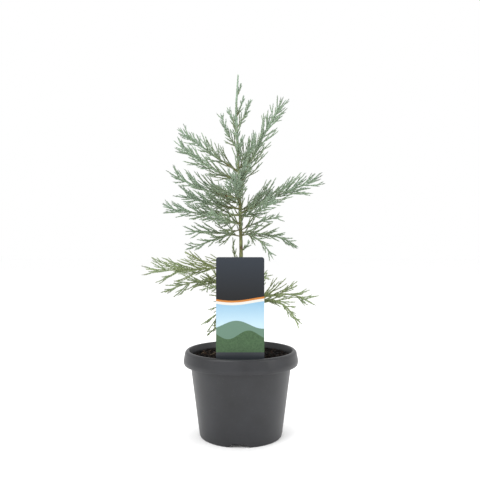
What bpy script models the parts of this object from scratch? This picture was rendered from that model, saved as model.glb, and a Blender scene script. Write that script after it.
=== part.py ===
"""Young blue giant sequoia, standing in a round nursery pot with a picture label.

Metres, +Z up, origin at the middle of the pot's flat underside, -Y towards the label.
The trunk is one tapering stem that stands on the soil. Boughs leave it at named heights, and a
long one is a bare limb that ends where its mass of foliage begins. A mass is one stem with
twigs that branch off it by a seeded rule, and short leafy sprigs fused to the twigs.
"""
import math
import random
from collections import namedtuple

import bmesh
import bpy
import numpy
from mathutils import Matrix, Vector, noise

GAP = 0.0003
WELD = 0.000001
FLATNESS = math.radians(0.3)
BOOLEAN_TRIES = (("EXACT", FLATNESS), ("MANIFOLD", FLATNESS), ("EXACT", 0.0), ("MANIFOLD", 0.0))
SEED = 1853
COLLECTION_NAME = "potted_giant_sequoia"

# Pot: a moulded tub with a skirt collar, drainage channels and a seat for the label.
POT_HEIGHT = 0.126
POT_FOOT_RADIUS = 0.060
POT_COLLAR_RADIUS = 0.085
POT_COLLAR_BOTTOM = 0.105
POT_WALL = 0.0015
POT_FLOOR = 0.007
POT_WALL_SLOPE = 0.1305
POT_SIDES = 48
CHANNEL_COUNT = 4
CHANNEL_TURN = math.radians(-2.5)
CHANNEL_HEIGHT = 0.0055
CHANNEL_WIDTH_TOP = 0.0186
CHANNEL_WIDTH_BOTTOM = 0.0322
CHANNEL_START = 0.022
SEAT_DEPTH = 0.0016
SEAT_HALF_ANGLE = math.radians(24.0)
SEAT_BLEND = math.radians(5.0)

# Soil: fills the pot to a little under its lip.
SOIL_TOP = 0.117
SOIL_UNEVENNESS = 0.0022
SOIL_FLAT_RADIUS = 0.014

# Label: an upright card whose foot is pushed into the soil.
LABEL_WIDTH = 0.0665
LABEL_TOP = 0.264
LABEL_SHOULDER = 0.1125
LABEL_FOOT = 0.066
LABEL_TAB_WIDTH = 0.026
LABEL_SHOULDER_RISE = 0.002
LABEL_THICKNESS = 0.001
LABEL_CORNER = 0.004
LABEL_X = -0.001
LABEL_Y = -0.0625

# Trunk: stations are its height and how far it stands to the side and to the back there.
TRUNK_STATIONS = (
    (SOIL_TOP + GAP, 0.0020, 0.0000),
    (0.266, 0.0004, 0.0010),
    (0.350, -0.0017, 0.0000),
    (0.420, -0.0045, 0.0010),
    (0.480, -0.0070, 0.0018),
    (0.534, -0.0042, 0.0010),
)
TRUNK_RADIUS = 0.0036
TRUNK_TIP_RADIUS = 0.0007
TRUNK_TAPER = 0.8
ROOT_FLARE = 0.0028
ROOT_FLARE_HEIGHT = 0.006
TRUNK_STEPS = 22

# Boughs and twigs: radii at the trunk and at the tip, and the rule's spacing and angles.
BOUGH_RADIUS_SHARE = 0.0145
BOUGH_RADIUS_LEAST = 0.0009
BOUGH_RADIUS_MOST = 0.0020
BOUGH_TIP_RADIUS = 0.0005
BOUGH_STEPS = 24
TWIG_SPACING = 0.0148
TWIG_ROOT_RADIUS = 0.0011
TWIG_TIP_RADIUS = 0.0004
TWIG_SPREAD = (math.radians(28.0), math.radians(44.0))
TWIG_TURN = math.radians(137.5)
TWIG_TURN_PLAY = math.radians(25.0)
TWIG_CURL = 0.35
TWIG_SHORTENING = 0.55
SPRIG_SHARES = (0.42, 0.68)
SPRIG_TWIG_LENGTHS = (0.014, 0.030)
STRAIGHT_TWIG_LENGTH = 0.022
SPRIG_LENGTH_SHARE = 0.36
SPRIG_LENGTH = (0.006, 0.013)
SPRIG_HALF_WIDTH = 0.0010
SPRIG_HALF_THICKNESS = 0.0007
SPRIG_SPREAD = math.radians(34.0)
SPRIG_SINK = 0.0012
CLEARANCE = 0.0007

Bough = namedtuple(
    "Bough", "name height azimuth length rise_start rise_end bare twig_length lift")

# Heights and lengths in millimetres, azimuths and rises in degrees, 0 to the right and -90 to
# the front. Bare is the share of the length that is a bare limb, lift how far twigs turn up.
BOUGHS = (
    Bough("leader_sprig", 503, 20, 20, 65, 75, 0.0, 7, 0.2),
    Bough("crown_front", 471, -30, 33, 62, 72, 0.0, 10, 0.2),
    Bough("crown_right", 455, 20, 50, 54, 74, 0.0, 15, 0.2),
    Bough("crown_left", 452, 200, 35, 66, 65, 0.0, 11, 0.2),
    Bough("crown_back", 437, 100, 48, 58, 72, 0.0, 16, 0.2),
    Bough("crown_left_low", 423, 160, 63, 53, 75, 0.0, 18, 0.2),
    Bough("crown_front_low", 410, -60, 34, 68, 70, 0.0, 9, 0.2),
    Bough("right_high", 365, 20, 158, 69, 54, 0.18, 42, 0.1),
    Bough("right_high_inner", 394, -35, 60, 38, 82, 0.0, 20, 0.2),
    Bough("left_high_back", 390, 160, 123, 34, 36, 0.18, 34, 0.3),
    Bough("left_high_front", 376, -160, 112, 18, 39, 0.20, 34, 0.3),
    Bough("front_high", 374, -82, 76, 6, 24, 0.0, 26, 0.3),
    Bough("back_high", 358, 98, 112, 16, 30, 0.20, 34, 0.3),
    Bough("left_mid_back", 350, 170, 115, 11, 30, 0.20, 40, 0.6),
    Bough("left_mid_front", 335, -145, 103, 5, 12, 0.20, 36, 0.4),
    Bough("left_mid", 326, -172, 113, -3, 14, 0.22, 36, 0.3),
    Bough("right_mid", 328, -12, 124, 27, 17, 0.20, 44, 0.6),
    Bough("front_mid", 342, -95, 92, 12, 28, 0.20, 32, 0.4),
    Bough("front_right_mid", 322, -52, 82, 8, 20, 0.0, 28, 0.4),
    Bough("front_left_mid", 312, -120, 88, 2, 15, 0.0, 30, 0.4),
    Bough("back_mid", 342, 118, 105, 15, 25, 0.20, 36, 0.4),
    Bough("back_right_mid", 333, 55, 98, 15, 22, 0.20, 34, 0.4),
    Bough("back_left_mid", 314, 135, 95, 8, 12, 0.0, 32, 0.3),
    Bough("right_low_back", 303, 30, 78, 26, 8, 0.0, 26, 0.2),
    Bough("left_low", 294, 165, 87, 13, -2, 0.0, 30, 0.2),
    Bough("left_low_front", 305, -163, 88, -22, -19, 0.0, 24, 0.1),
    Bough("right_low", 295, -8, 88, 14, -36, 0.0, 28, 0.0),
    Bough("right_low_front", 301, -38, 72, -8, -60, 0.0, 22, 0.0),
    Bough("right_shoot", 272, -20, 20, 30, 65, 0.0, 9, 0.2),
    Bough("left_shoot", 234, 148, 60, 62, 88, 0.0, 14, 0.2),
    Bough("left_skirt", 252, -170, 139, -9, 4, 0.22, 52, 0.2),
    Bough("left_skirt_front", 213, -150, 125, 28, -25, 0.20, 36, 0.0),
    Bough("back_skirt", 248, 95, 95, 2, -8, 0.0, 34, 0.1),
    Bough("back_right_skirt", 228, 60, 88, 8, -8, 0.0, 32, 0.1),
    Bough("back_left_skirt", 216, 130, 98, 8, -15, 0.0, 34, 0.0),
    Bough("front_skirt", 226, -100, 50, 10, -5, 0.0, 14, 0.2),
    Bough("left_hanging", 204, -140, 74, 6, -84, 0.0, 38, -0.2),
    Bough("left_hanging_low", 178, -165, 62, -12, -48, 0.0, 14, 0.0),
    Bough("right_skirt", 178, -8, 118, 54, -36, 0.22, 38, 0.3),
    Bough("right_skirt_front", 166, -40, 132, 72, -70, 0.0, 32, 0.0),
    Bough("back_hanging", 190, 85, 85, 2, -30, 0.0, 28, 0.0),
)

Finish = namedtuple("Finish", "colour roughness")
FINISHES = {
    "pot": Finish((0.062, 0.064, 0.068), 0.45),
    "soil": Finish((0.030, 0.018, 0.012), 0.95),
    "label": Finish((0.060, 0.075, 0.090), 0.35),
    "bark": Finish((0.200, 0.190, 0.070), 0.80),
    "upper_foliage": Finish((0.230, 0.350, 0.300), 0.65),
    "lower_foliage": Finish((0.270, 0.370, 0.170), 0.65),
}


def clear_scene():
    """Removes every object that the scene starts with."""
    for thing in list(bpy.data.objects):
        bpy.data.objects.remove(thing, do_unlink=True)


def make_collection(name):
    """Adds an empty collection to the scene."""
    collection = bpy.data.collections.new(name)
    bpy.context.scene.collection.children.link(collection)
    return collection


def make_material(name, finish):
    """Makes a part's own material from its colour and roughness."""
    material = bpy.data.materials.new(name)
    material.use_nodes = True
    shader = material.node_tree.nodes["Principled BSDF"]
    shader.inputs["Base Color"].default_value = (*finish.colour, 1.0)
    shader.inputs["Roughness"].default_value = finish.roughness
    shader.inputs["Metallic"].default_value = 0.0
    material.diffuse_color = (*finish.colour, 1.0)
    return material


def add_object(name, data, collection):
    """Adds an object for a mesh or a curve to a collection."""
    thing = bpy.data.objects.new(name, data)
    collection.objects.link(thing)
    return thing


def evaluated_mesh(thing, name):
    """Returns a new mesh of an object as its modifiers or its bevel leave it."""
    bpy.context.view_layer.update()
    graph = bpy.context.evaluated_depsgraph_get()
    mesh = bpy.data.meshes.new_from_object(thing.evaluated_get(graph), depsgraph=graph)
    mesh.name = name
    return mesh


def tidy_mesh(mesh, flatness=FLATNESS):
    """Welds a mesh's doubles, joins its flat neighbours if asked and turns all faces outwards."""
    work = bmesh.new()
    work.from_mesh(mesh)
    bmesh.ops.triangulate(work, faces=work.faces)
    bmesh.ops.remove_doubles(work, verts=work.verts, dist=WELD)
    bmesh.ops.dissolve_degenerate(work, edges=work.edges, dist=WELD)
    if flatness:
        bmesh.ops.dissolve_limit(
            work, angle_limit=flatness, verts=work.verts, edges=work.edges,
            use_dissolve_boundaries=False)
    wires = [edge for edge in work.edges if not edge.link_faces]
    bmesh.ops.delete(work, geom=wires, context="EDGES")
    bmesh.ops.triangulate(work, faces=work.faces)
    bmesh.ops.recalc_face_normals(work, faces=work.faces)
    work.to_mesh(mesh)
    work.free()


def drop_scraps(mesh):
    """Keeps only the largest body of a mesh, so loose scraps and sealed hollows go."""
    work = bmesh.new()
    work.from_mesh(mesh)
    unseen = set(work.faces)
    bodies = []
    while unseen:
        front = [unseen.pop()]
        body = list(front)
        while front:
            face = front.pop()
            for edge in face.edges:
                for neighbour in edge.link_faces:
                    if neighbour in unseen:
                        unseen.remove(neighbour)
                        body.append(neighbour)
                        front.append(neighbour)
        bodies.append(body)
    bodies.sort(key=len)
    scraps = [face for body in bodies[:-1] for face in body]
    bmesh.ops.delete(work, geom=scraps, context="FACES")
    work.to_mesh(mesh)
    work.free()


def is_closed(mesh):
    """Says whether every edge of a mesh has two faces."""
    work = bmesh.new()
    work.from_mesh(mesh)
    closed = len(work.faces) > 0 and all(edge.is_manifold for edge in work.edges)
    work.free()
    return closed


def turned_mesh(name, profile, sides):
    """Turns a profile of (radius, height) about the Z axis with a Screw modifier."""
    mesh = bpy.data.meshes.new(name)
    work = bmesh.new()
    corners = [work.verts.new((radius, 0.0, height)) for radius, height in profile]
    for start, end in zip(corners, corners[1:]):
        work.edges.new((start, end))
    work.to_mesh(mesh)
    work.free()
    thing = add_object(name, mesh, bpy.context.scene.collection)
    screw = thing.modifiers.new("turn", "SCREW")
    screw.steps = sides
    screw.render_steps = sides
    screw.use_merge_vertices = True
    screw.merge_threshold = 0.00001
    turned = evaluated_mesh(thing, name)
    bpy.data.objects.remove(thing, do_unlink=True)
    return turned


def smooth_step(share):
    """Eases a share from 0 to 1."""
    share = min(1.0, max(0.0, share))
    return share * share * (3.0 - 2.0 * share)


def cut(thing, cutter, operation="DIFFERENCE"):
    """Adds a Boolean of a cutter to an object."""
    modifier = thing.modifiers.new("cut", "BOOLEAN")
    modifier.operation = operation
    modifier.object = cutter
    modifier.solver = "EXACT"


def hide_cutter(cutter):
    """Marks an object as one that only shapes others."""
    cutter.hide_render = True
    cutter.display_type = "WIRE"


def pot_wall_radius(height):
    """Outer radius of the pot's wall at a height."""
    return POT_FOOT_RADIUS + 0.001 + POT_WALL_SLOPE * height


def pot_profile():
    """The pot's section, from the middle of its floor over the lip and down to the base."""
    lip = POT_HEIGHT
    inner_foot = pot_wall_radius(POT_FLOOR) - POT_WALL
    return (
        (0.0, POT_FLOOR),
        (inner_foot, POT_FLOOR),
        (pot_wall_radius(0.118) - POT_WALL, 0.118),
        (0.0769, lip - 0.0006),
        (0.0778, lip),
        (0.0800, lip),
        (0.0826, lip - 0.0024),
        (POT_COLLAR_RADIUS, POT_COLLAR_BOTTOM + 0.0065),
        (POT_COLLAR_RADIUS - 0.0001, POT_COLLAR_BOTTOM + 0.003),
        (POT_COLLAR_RADIUS - 0.0011, POT_COLLAR_BOTTOM),
        (POT_COLLAR_RADIUS - 0.0023, POT_COLLAR_BOTTOM),
        (POT_COLLAR_RADIUS - 0.0014, POT_COLLAR_BOTTOM + 0.0055),
        (0.0814, lip - 0.0037),
        (0.0792, lip - 0.0018),
        (0.0781, lip - 0.0026),
        (pot_wall_radius(POT_COLLAR_BOTTOM), POT_COLLAR_BOTTOM),
        (POT_FOOT_RADIUS + 0.0012, 0.0015),
        (POT_FOOT_RADIUS, 0.0),
        (0.0, 0.0),
    )


def press_label_seat(mesh):
    """Presses the front of the collar inwards, where a label leans on it."""
    skirt_radius = pot_wall_radius(POT_COLLAR_BOTTOM) + 0.0035
    for vertex in mesh.vertices:
        place = vertex.co
        radius = math.hypot(place.x, place.y)
        if place.z < POT_COLLAR_BOTTOM - 0.001 or radius < skirt_radius:
            continue
        away = abs(math.atan2(place.x, -place.y))
        inside = smooth_step((SEAT_HALF_ANGLE + SEAT_BLEND - away) / (2.0 * SEAT_BLEND))
        low = smooth_step((POT_HEIGHT - place.z) / 0.008)
        shrink = 1.0 - SEAT_DEPTH * inside * low / radius
        place.x *= shrink
        place.y *= shrink


def channel_mesh(turn):
    """A drainage channel's cutter: a prism with slanted sides, lying along a radius."""
    mesh = bpy.data.meshes.new("channel")
    work = bmesh.new()
    reach = POT_COLLAR_RADIUS
    bottom = -0.002
    slope = (CHANNEL_WIDTH_BOTTOM - CHANNEL_WIDTH_TOP) / 2.0 / CHANNEL_HEIGHT
    low_half = CHANNEL_WIDTH_BOTTOM / 2.0 - slope * bottom
    top_half = CHANNEL_WIDTH_TOP / 2.0
    bmesh.ops.create_cube(work, size=1.0)
    for vertex in work.verts:
        side = vertex.co.y * 2.0
        is_top = vertex.co.z > 0.0
        vertex.co.y = side * (top_half if is_top else low_half)
        vertex.co.z = CHANNEL_HEIGHT if is_top else bottom
        vertex.co.x = reach if vertex.co.x > 0.0 else CHANNEL_START
    bmesh.ops.rotate(work, verts=work.verts, matrix=Matrix.Rotation(turn, 3, "Z"))
    work.to_mesh(mesh)
    work.free()
    return mesh


def build_pot(parts, cutters):
    """Builds the pot, with its label seat and its drainage channels."""
    mesh = turned_mesh("pot", pot_profile(), POT_SIDES)
    press_label_seat(mesh)
    tidy_mesh(mesh)
    pot = add_object("pot", mesh, parts)
    for number in range(CHANNEL_COUNT):
        turn = CHANNEL_TURN + math.radians(-90.0) + number * math.tau / CHANNEL_COUNT
        cutter = add_object("channel_cutter_%d" % number, channel_mesh(turn), cutters)
        hide_cutter(cutter)
        cut(pot, cutter)
    pot.data.materials.append(make_material("pot_plastic", FINISHES["pot"]))
    mesh.shade_smooth()
    mesh.set_sharp_from_angle(angle=math.radians(35.0))
    return pot


def label_outline(margin):
    """The card's outline in its own plane, with a margin all round, from the tab's point up."""
    half = LABEL_WIDTH / 2.0 + margin
    tab = LABEL_TAB_WIDTH / 2.0 + margin
    shoulder = LABEL_SHOULDER - margin
    corner = LABEL_CORNER
    top = LABEL_TOP + margin
    right = [
        (0.0, LABEL_FOOT - margin), (tab, LABEL_FOOT + 0.010),
        (tab, shoulder), (half, shoulder + LABEL_SHOULDER_RISE)]
    for step in range(5):
        angle = step * math.pi / 8.0
        right.append((half - corner + corner * math.cos(angle), top - corner + corner * math.sin(angle)))
    left = [(-across, up) for across, up in reversed(right[1:])]
    return right + left


def card_mesh(name, outline, thickness):
    """Makes an upright card from a flat outline, standing across the Y axis."""
    curve = bpy.data.curves.new(name, "CURVE")
    curve.dimensions = "2D"
    curve.fill_mode = "BOTH"
    curve.extrude = thickness / 2.0
    spline = curve.splines.new("POLY")
    spline.points.add(len(outline) - 1)
    for point, (across, up) in zip(spline.points, outline):
        point.co = (across, up, 0.0, 1.0)
    spline.use_cyclic_u = True
    thing = add_object(name, curve, bpy.context.scene.collection)
    mesh = evaluated_mesh(thing, name)
    bpy.data.objects.remove(thing, do_unlink=True)
    mesh.transform(Matrix.Translation((LABEL_X, LABEL_Y, 0.0)) @ Matrix.Rotation(math.pi / 2.0, 4, "X"))
    tidy_mesh(mesh)
    return mesh


def build_label(parts):
    """Builds the picture label, a card with a narrow tab for a foot."""
    mesh = card_mesh("label", label_outline(0.0), LABEL_THICKNESS)
    mesh.materials.append(make_material("label_card", FINISHES["label"]))
    return add_object("label", mesh, parts)


def soil_profile():
    """The soil's section: its top from the middle out, then down inside the pot's wall."""
    floor = POT_FLOOR + GAP
    wall = POT_WALL + GAP * 1.2
    return (
        (0.0, SOIL_TOP),
        (SOIL_FLAT_RADIUS, SOIL_TOP),
        (0.034, SOIL_TOP),
        (0.054, SOIL_TOP),
        (pot_wall_radius(SOIL_TOP) - wall, SOIL_TOP - 0.001),
        (pot_wall_radius(floor) - wall - 0.0004, floor),
        (0.0, floor),
    )


def build_soil(parts, cutters):
    """Builds the soil, flat under the trunk, uneven elsewhere, with a slot for the label."""
    mesh = turned_mesh("soil", soil_profile(), POT_SIDES)
    for vertex in mesh.vertices:
        place = vertex.co
        radius = math.hypot(place.x, place.y)
        if place.z > SOIL_TOP - 0.003 and SOIL_FLAT_RADIUS + 0.001 < radius < 0.070:
            place.z += SOIL_UNEVENNESS * (noise.noise(place * 60.0) - 0.3)
    tidy_mesh(mesh)
    soil = add_object("soil", mesh, parts)
    slot_outline = label_outline(GAP)
    cutter = add_object("label_slot", card_mesh("label_slot", slot_outline, LABEL_THICKNESS + 2.0 * GAP), cutters)
    hide_cutter(cutter)
    cut(soil, cutter)
    soil.data.materials.append(make_material("potting_soil", FINISHES["soil"]))
    return soil


def trunk_point(height):
    """The trunk's middle at a height, on a smooth curve through its stations."""
    heights = [station[0] for station in TRUNK_STATIONS]
    height = min(heights[-1], max(heights[0], height))
    index = min(len(heights) - 2, max(0, int(numpy.searchsorted(heights, height, side="right")) - 1))
    before = TRUNK_STATIONS[max(0, index - 1)]
    start = TRUNK_STATIONS[index]
    end = TRUNK_STATIONS[index + 1]
    after = TRUNK_STATIONS[min(len(heights) - 1, index + 2)]
    span = end[0] - start[0]
    share = (height - start[0]) / span
    place = [0.0, 0.0]
    for axis in (1, 2):
        slope_in = (end[axis] - before[axis]) / (end[0] - before[0]) if index > 0 else 0.0
        slope_out = (after[axis] - start[axis]) / (after[0] - start[0])
        place[axis - 1] = (
            (2.0 * share ** 3 - 3.0 * share ** 2 + 1.0) * start[axis]
            + (share ** 3 - 2.0 * share ** 2 + share) * span * slope_in
            + (3.0 * share ** 2 - 2.0 * share ** 3) * end[axis]
            + (share ** 3 - share ** 2) * span * slope_out)
    return Vector((place[0], place[1], height))


def trunk_radius(height):
    """The trunk's radius at a height, with its flare at the root."""
    bottom = TRUNK_STATIONS[0][0]
    top = TRUNK_STATIONS[-1][0]
    share = min(1.0, max(0.0, (height - bottom) / (top - bottom)))
    taper = TRUNK_TIP_RADIUS + (TRUNK_RADIUS - TRUNK_TIP_RADIUS) * (1.0 - share) ** TRUNK_TAPER
    return taper + ROOT_FLARE * math.exp(-(height - bottom) / ROOT_FLARE_HEIGHT)


def trunk_heights():
    """Heights of the trunk's sections, closer together in the root flare."""
    bottom = TRUNK_STATIONS[0][0]
    top = TRUNK_STATIONS[-1][0]
    flare = [bottom + step * 0.003 for step in range(5)]
    rest = [flare[-1] + (top - flare[-1]) * step / TRUNK_STEPS for step in range(1, TRUNK_STEPS + 1)]
    return flare + rest


def tube_mesh(name, points, radii, roundness):
    """Makes a tapering tube with filled ends from a bevelled curve."""
    curve = bpy.data.curves.new(name, "CURVE")
    curve.dimensions = "3D"
    curve.bevel_depth = 1.0
    curve.bevel_resolution = roundness
    curve.use_fill_caps = True
    spline = curve.splines.new("POLY")
    spline.points.add(len(points) - 1)
    for control, place, radius in zip(spline.points, points, radii):
        control.co = (*place, 1.0)
        control.radius = radius
    thing = add_object(name, curve, bpy.context.scene.collection)
    mesh = evaluated_mesh(thing, name)
    bpy.data.objects.remove(thing, do_unlink=True)
    tidy_mesh(mesh)
    return mesh


def rod_mesh(name, points, radii):
    """Makes a three-sided tapering rod by extruding a triangle from point to point."""
    mesh = bpy.data.meshes.new(name)
    work = bmesh.new()
    heading = (points[1] - points[0]).normalized()
    turn = heading.to_track_quat("Z", "Y").to_matrix().to_4x4()
    place = Matrix.Translation(points[0]) @ turn
    bmesh.ops.create_circle(work, cap_ends=True, segments=3, radius=radii[0], matrix=place)
    face = next(iter(work.faces))
    for number, (start, end) in enumerate(zip(points, points[1:])):
        grown = bmesh.ops.extrude_face_region(work, geom=[face])
        if number > 0:
            bmesh.ops.delete(work, geom=[face], context="FACES_ONLY")
        ring = [item for item in grown["geom"] if isinstance(item, bmesh.types.BMVert)]
        face = next(item for item in grown["geom"] if isinstance(item, bmesh.types.BMFace))
        for vertex in ring:
            vertex.co = end + (vertex.co - start) * (radii[number + 1] / radii[number])
    bmesh.ops.recalc_face_normals(work, faces=work.faces)
    work.to_mesh(mesh)
    work.free()
    return mesh


def sprig_mesh(name, root, heading, across, length):
    """Makes a leafy sprig: a pointed three-sided spike, widest near its root."""
    mesh = bpy.data.meshes.new(name)
    work = bmesh.new()
    bmesh.ops.create_uvsphere(work, u_segments=3, v_segments=2, radius=1.0)
    thickness_way = heading.cross(across).normalized()
    for vertex in work.verts:
        share = 0.0 if vertex.co.z < -0.5 else (1.0 if vertex.co.z > 0.5 else 0.36)
        vertex.co = (root + heading * (length * share)
                     + across * (SPRIG_HALF_WIDTH * vertex.co.x)
                     + thickness_way * (SPRIG_HALF_THICKNESS * vertex.co.y))
    bmesh.ops.recalc_face_normals(work, faces=work.faces)
    work.to_mesh(mesh)
    work.free()
    return mesh


def build_trunk(parts):
    """Builds the trunk, from its flat foot on the soil to the leader's tip."""
    heights = trunk_heights()
    points = [trunk_point(height) for height in heights]
    points[1] = Vector((points[0].x, points[0].y, points[1].z))
    radii = [trunk_radius(height) for height in heights]
    mesh = tube_mesh("trunk", points, radii, 3)
    mesh.materials.append(make_material("trunk_bark", FINISHES["bark"]))
    mesh.shade_smooth()
    mesh.set_sharp_from_angle(angle=math.radians(60.0))
    return add_object("trunk", mesh, parts)


def build_trunk_room(cutters):
    """Builds the space that the trunk takes, with the gap that boughs keep to it."""
    heights = trunk_heights()
    points = [trunk_point(height) for height in heights]
    points[0] -= Vector((0.0, 0.0, 0.004))
    points[-1] += Vector((0.0, 0.0, 0.002))
    radii = [trunk_radius(height) + GAP for height in heights]
    room = add_object("trunk_room", tube_mesh("trunk_room", points, radii, 3), cutters)
    hide_cutter(room)
    return room


def bough_path(bough):
    """A bough's middle line, whose rise goes evenly from its start to its tip."""
    azimuth = math.radians(bough.azimuth)
    step = bough.length * 0.001 / BOUGH_STEPS
    place = trunk_point(bough.height * 0.001)
    path = [place]
    for number in range(BOUGH_STEPS):
        share = (number + 0.5) / BOUGH_STEPS
        rise = math.radians(bough.rise_start + (bough.rise_end - bough.rise_start) * share)
        heading = Vector((
            math.cos(rise) * math.cos(azimuth), math.cos(rise) * math.sin(azimuth), math.sin(rise)))
        place = place + heading * step
        path.append(place)
    return path


def along(path, share):
    """The point and the heading at a share of a path's length."""
    spot = min(len(path) - 1.0001, max(0.0, share * (len(path) - 1)))
    index = int(spot)
    heading = (path[index + 1] - path[index]).normalized()
    return path[index].lerp(path[index + 1], spot - index), heading


def bough_radius(bough, share):
    """A bough's radius at a share of its length, through limb and mass alike."""
    root = min(BOUGH_RADIUS_MOST, max(BOUGH_RADIUS_LEAST, BOUGH_RADIUS_SHARE * bough.length * 0.001))
    return BOUGH_TIP_RADIUS + (root - BOUGH_TIP_RADIUS) * max(0.0, 1.0 - share) ** 0.9


def twig_plan(bough, path, source):
    """The seeded rule: yields the points of each twig along a bough's mass."""
    mass_length = bough.length * 0.001 * (1.0 - bough.bare)
    count = max(2, round(mass_length / TWIG_SPACING))
    for number in range(count):
        share_in_mass = 0.04 + 0.88 * (number + 0.5 + source.uniform(-0.25, 0.25)) / count
        root, heading = along(path, bough.bare + (1.0 - bough.bare) * share_in_mass)
        side = heading.cross(Vector((0.0, 0.0, 1.0))).normalized()
        upward = side.cross(heading).normalized()
        turn = number * TWIG_TURN + source.uniform(-TWIG_TURN_PLAY, TWIG_TURN_PLAY)
        spread = source.uniform(*TWIG_SPREAD)
        length = bough.twig_length * 0.001 * (1.0 - TWIG_SHORTENING * share_in_mass) * source.uniform(0.78, 1.15)
        outward = (upward * math.cos(turn) + side * math.sin(turn) + upward * bough.lift).normalized()
        start_way = heading * math.cos(spread) + outward * math.sin(spread)
        end_way = (start_way + heading * TWIG_CURL + Vector((0.0, 0.0, TWIG_CURL * 0.6))).normalized()
        middle = root + (start_way * 0.75 + end_way * 0.25) * (length * 0.5)
        tip = root + (start_way + end_way).normalized() * length
        yield [root, middle, tip]


class Room:
    """Keeps every limb and twig that has been placed, to hold new ones clear of them."""

    def __init__(self):
        self.starts = []
        self.ends = []
        self.radii = []
        self.owners = []

    def add(self, points, radii, owner):
        """Takes a path's space for its owner."""
        for start, end, radius_start, radius_end in zip(points, points[1:], radii, radii[1:]):
            self.starts.append(tuple(start))
            self.ends.append(tuple(end))
            self.radii.append(max(radius_start, radius_end))
            self.owners.append(owner)

    def nearest(self, start, end, owner):
        """The least distance from a segment to what other owners hold, less their radii."""
        mine = numpy.array([other == owner for other in self.owners])
        if mine.all():
            return 1.0
        starts = numpy.array(self.starts)[~mine]
        ends = numpy.array(self.ends)[~mine]
        radii = numpy.array(self.radii)[~mine]
        share = numpy.linspace(0.0, 1.0, 9)[:, None]
        samples = numpy.array(start) * (1.0 - share) + numpy.array(end) * share
        lines = ends - starts
        lengths = numpy.maximum((lines ** 2).sum(axis=1), 1e-12)
        offsets = samples[:, None, :] - starts[None, :, :]
        places = numpy.clip((offsets * lines[None]).sum(axis=2) / lengths, 0.0, 1.0)
        gaps = numpy.linalg.norm(offsets - places[..., None] * lines[None], axis=2) - radii[None]
        return float(gaps.min())

    def is_free(self, points, radius, owner):
        """Says whether a path keeps to its owner's space and above the pot."""
        for place in points:
            near_label = (abs(place.x - LABEL_X) < LABEL_WIDTH / 2.0 + 0.003
                          and abs(place.y - LABEL_Y) < 0.003 and place.z < LABEL_TOP + 0.003)
            if near_label or place.z < POT_HEIGHT + 0.004:
                return False
        return all(
            self.nearest(start, end, owner) > radius + CLEARANCE
            for start, end in zip(points, points[1:]))


def fuse(name, core, pieces):
    """Joins a mass's pieces to its core with one Boolean union, applied."""
    for solver, flatness in BOOLEAN_TRIES:
        modifier = core.modifiers.new("join", "BOOLEAN")
        modifier.operation = "UNION"
        modifier.operand_type = "COLLECTION"
        modifier.collection = pieces
        modifier.solver = solver
        mesh = evaluated_mesh(core, name)
        core.modifiers.remove(modifier)
        tidy_mesh(mesh, flatness)
        drop_scraps(mesh)
        if is_closed(mesh):
            break
    return mesh


def trim_to_trunk(name, mesh, room):
    """Cuts a limb's or a mass's root to the trunk's shape, clear of it."""
    thing = add_object(name, mesh, bpy.context.scene.collection)
    for solver, flatness in BOOLEAN_TRIES:
        cut(thing, room)
        thing.modifiers[0].solver = solver
        trimmed = evaluated_mesh(thing, name)
        thing.modifiers.clear()
        tidy_mesh(trimmed, flatness)
        drop_scraps(trimmed)
        if is_closed(trimmed):
            break
    bpy.data.objects.remove(thing, do_unlink=True)
    return trimmed


def stem_shares(first, last, longest_step, length):
    """Shares of a bough's length at which its tube has a section."""
    count = max(2, math.ceil((last - first) * length / longest_step))
    return [first + (last - first) * step / count for step in range(count + 1)]


def build_limb(bough, path, trunk_room, parts, taken):
    """Builds the bare limb of a long bough, up to where its mass begins."""
    shares = stem_shares(0.0, bough.bare, 0.008, bough.length * 0.001)
    points = [along(path, share)[0] for share in shares]
    radii = [bough_radius(bough, share) for share in shares]
    name = "bough_" + bough.name
    mesh = trim_to_trunk(name, tube_mesh(name, points, radii, 1), trunk_room)
    mesh.materials.append(make_material(name + "_bark", FINISHES["bark"]))
    taken.add(points, radii, bough.name)
    return add_object(name, mesh, parts)


def build_mass(bough, path, trunk_room, parts, taken):
    """Builds a bough's mass: its stem, twigs and sprigs, fused in one body."""
    name = "mass_" + bough.name
    length = bough.length * 0.001
    first = bough.bare + (GAP / length if bough.bare else 0.0)
    shares = stem_shares(first, 1.0, 0.018, length)
    points = [along(path, share)[0] for share in shares]
    radii = [bough_radius(bough, share) for share in shares]
    core = add_object(name, tube_mesh(name, points, radii, 0), bpy.context.scene.collection)
    pieces = make_collection(name + "_pieces")
    source = random.Random(SEED + BOUGHS.index(bough))
    for number, twig in enumerate(twig_plan(bough, path, source)):
        if not taken.is_free(twig, TWIG_ROOT_RADIUS, bough.name):
            continue
        root_radius = min(TWIG_ROOT_RADIUS, radii[0] * 0.85)
        twig_radii = [root_radius, (root_radius + TWIG_TIP_RADIUS) / 2.0 + 0.0001, TWIG_TIP_RADIUS]
        bend = 2 if (twig[2] - twig[0]).length < STRAIGHT_TWIG_LENGTH else 1
        add_object("twig", rod_mesh("twig", twig[::bend], twig_radii[::bend]), pieces)
        taken.add(twig, twig_radii, bough.name)
        add_sprigs(bough, twig, number, pieces, taken)
    mesh = fuse(name, core, pieces)
    remove_collection(pieces)
    bpy.data.objects.remove(core, do_unlink=True)
    if not bough.bare:
        mesh = trim_to_trunk(name, mesh, trunk_room)
    finish = FINISHES["lower_foliage" if bough.height < 260 else "upper_foliage"]
    mesh.materials.append(make_material(name + "_foliage", finish))
    return add_object(name, mesh, parts)


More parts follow.
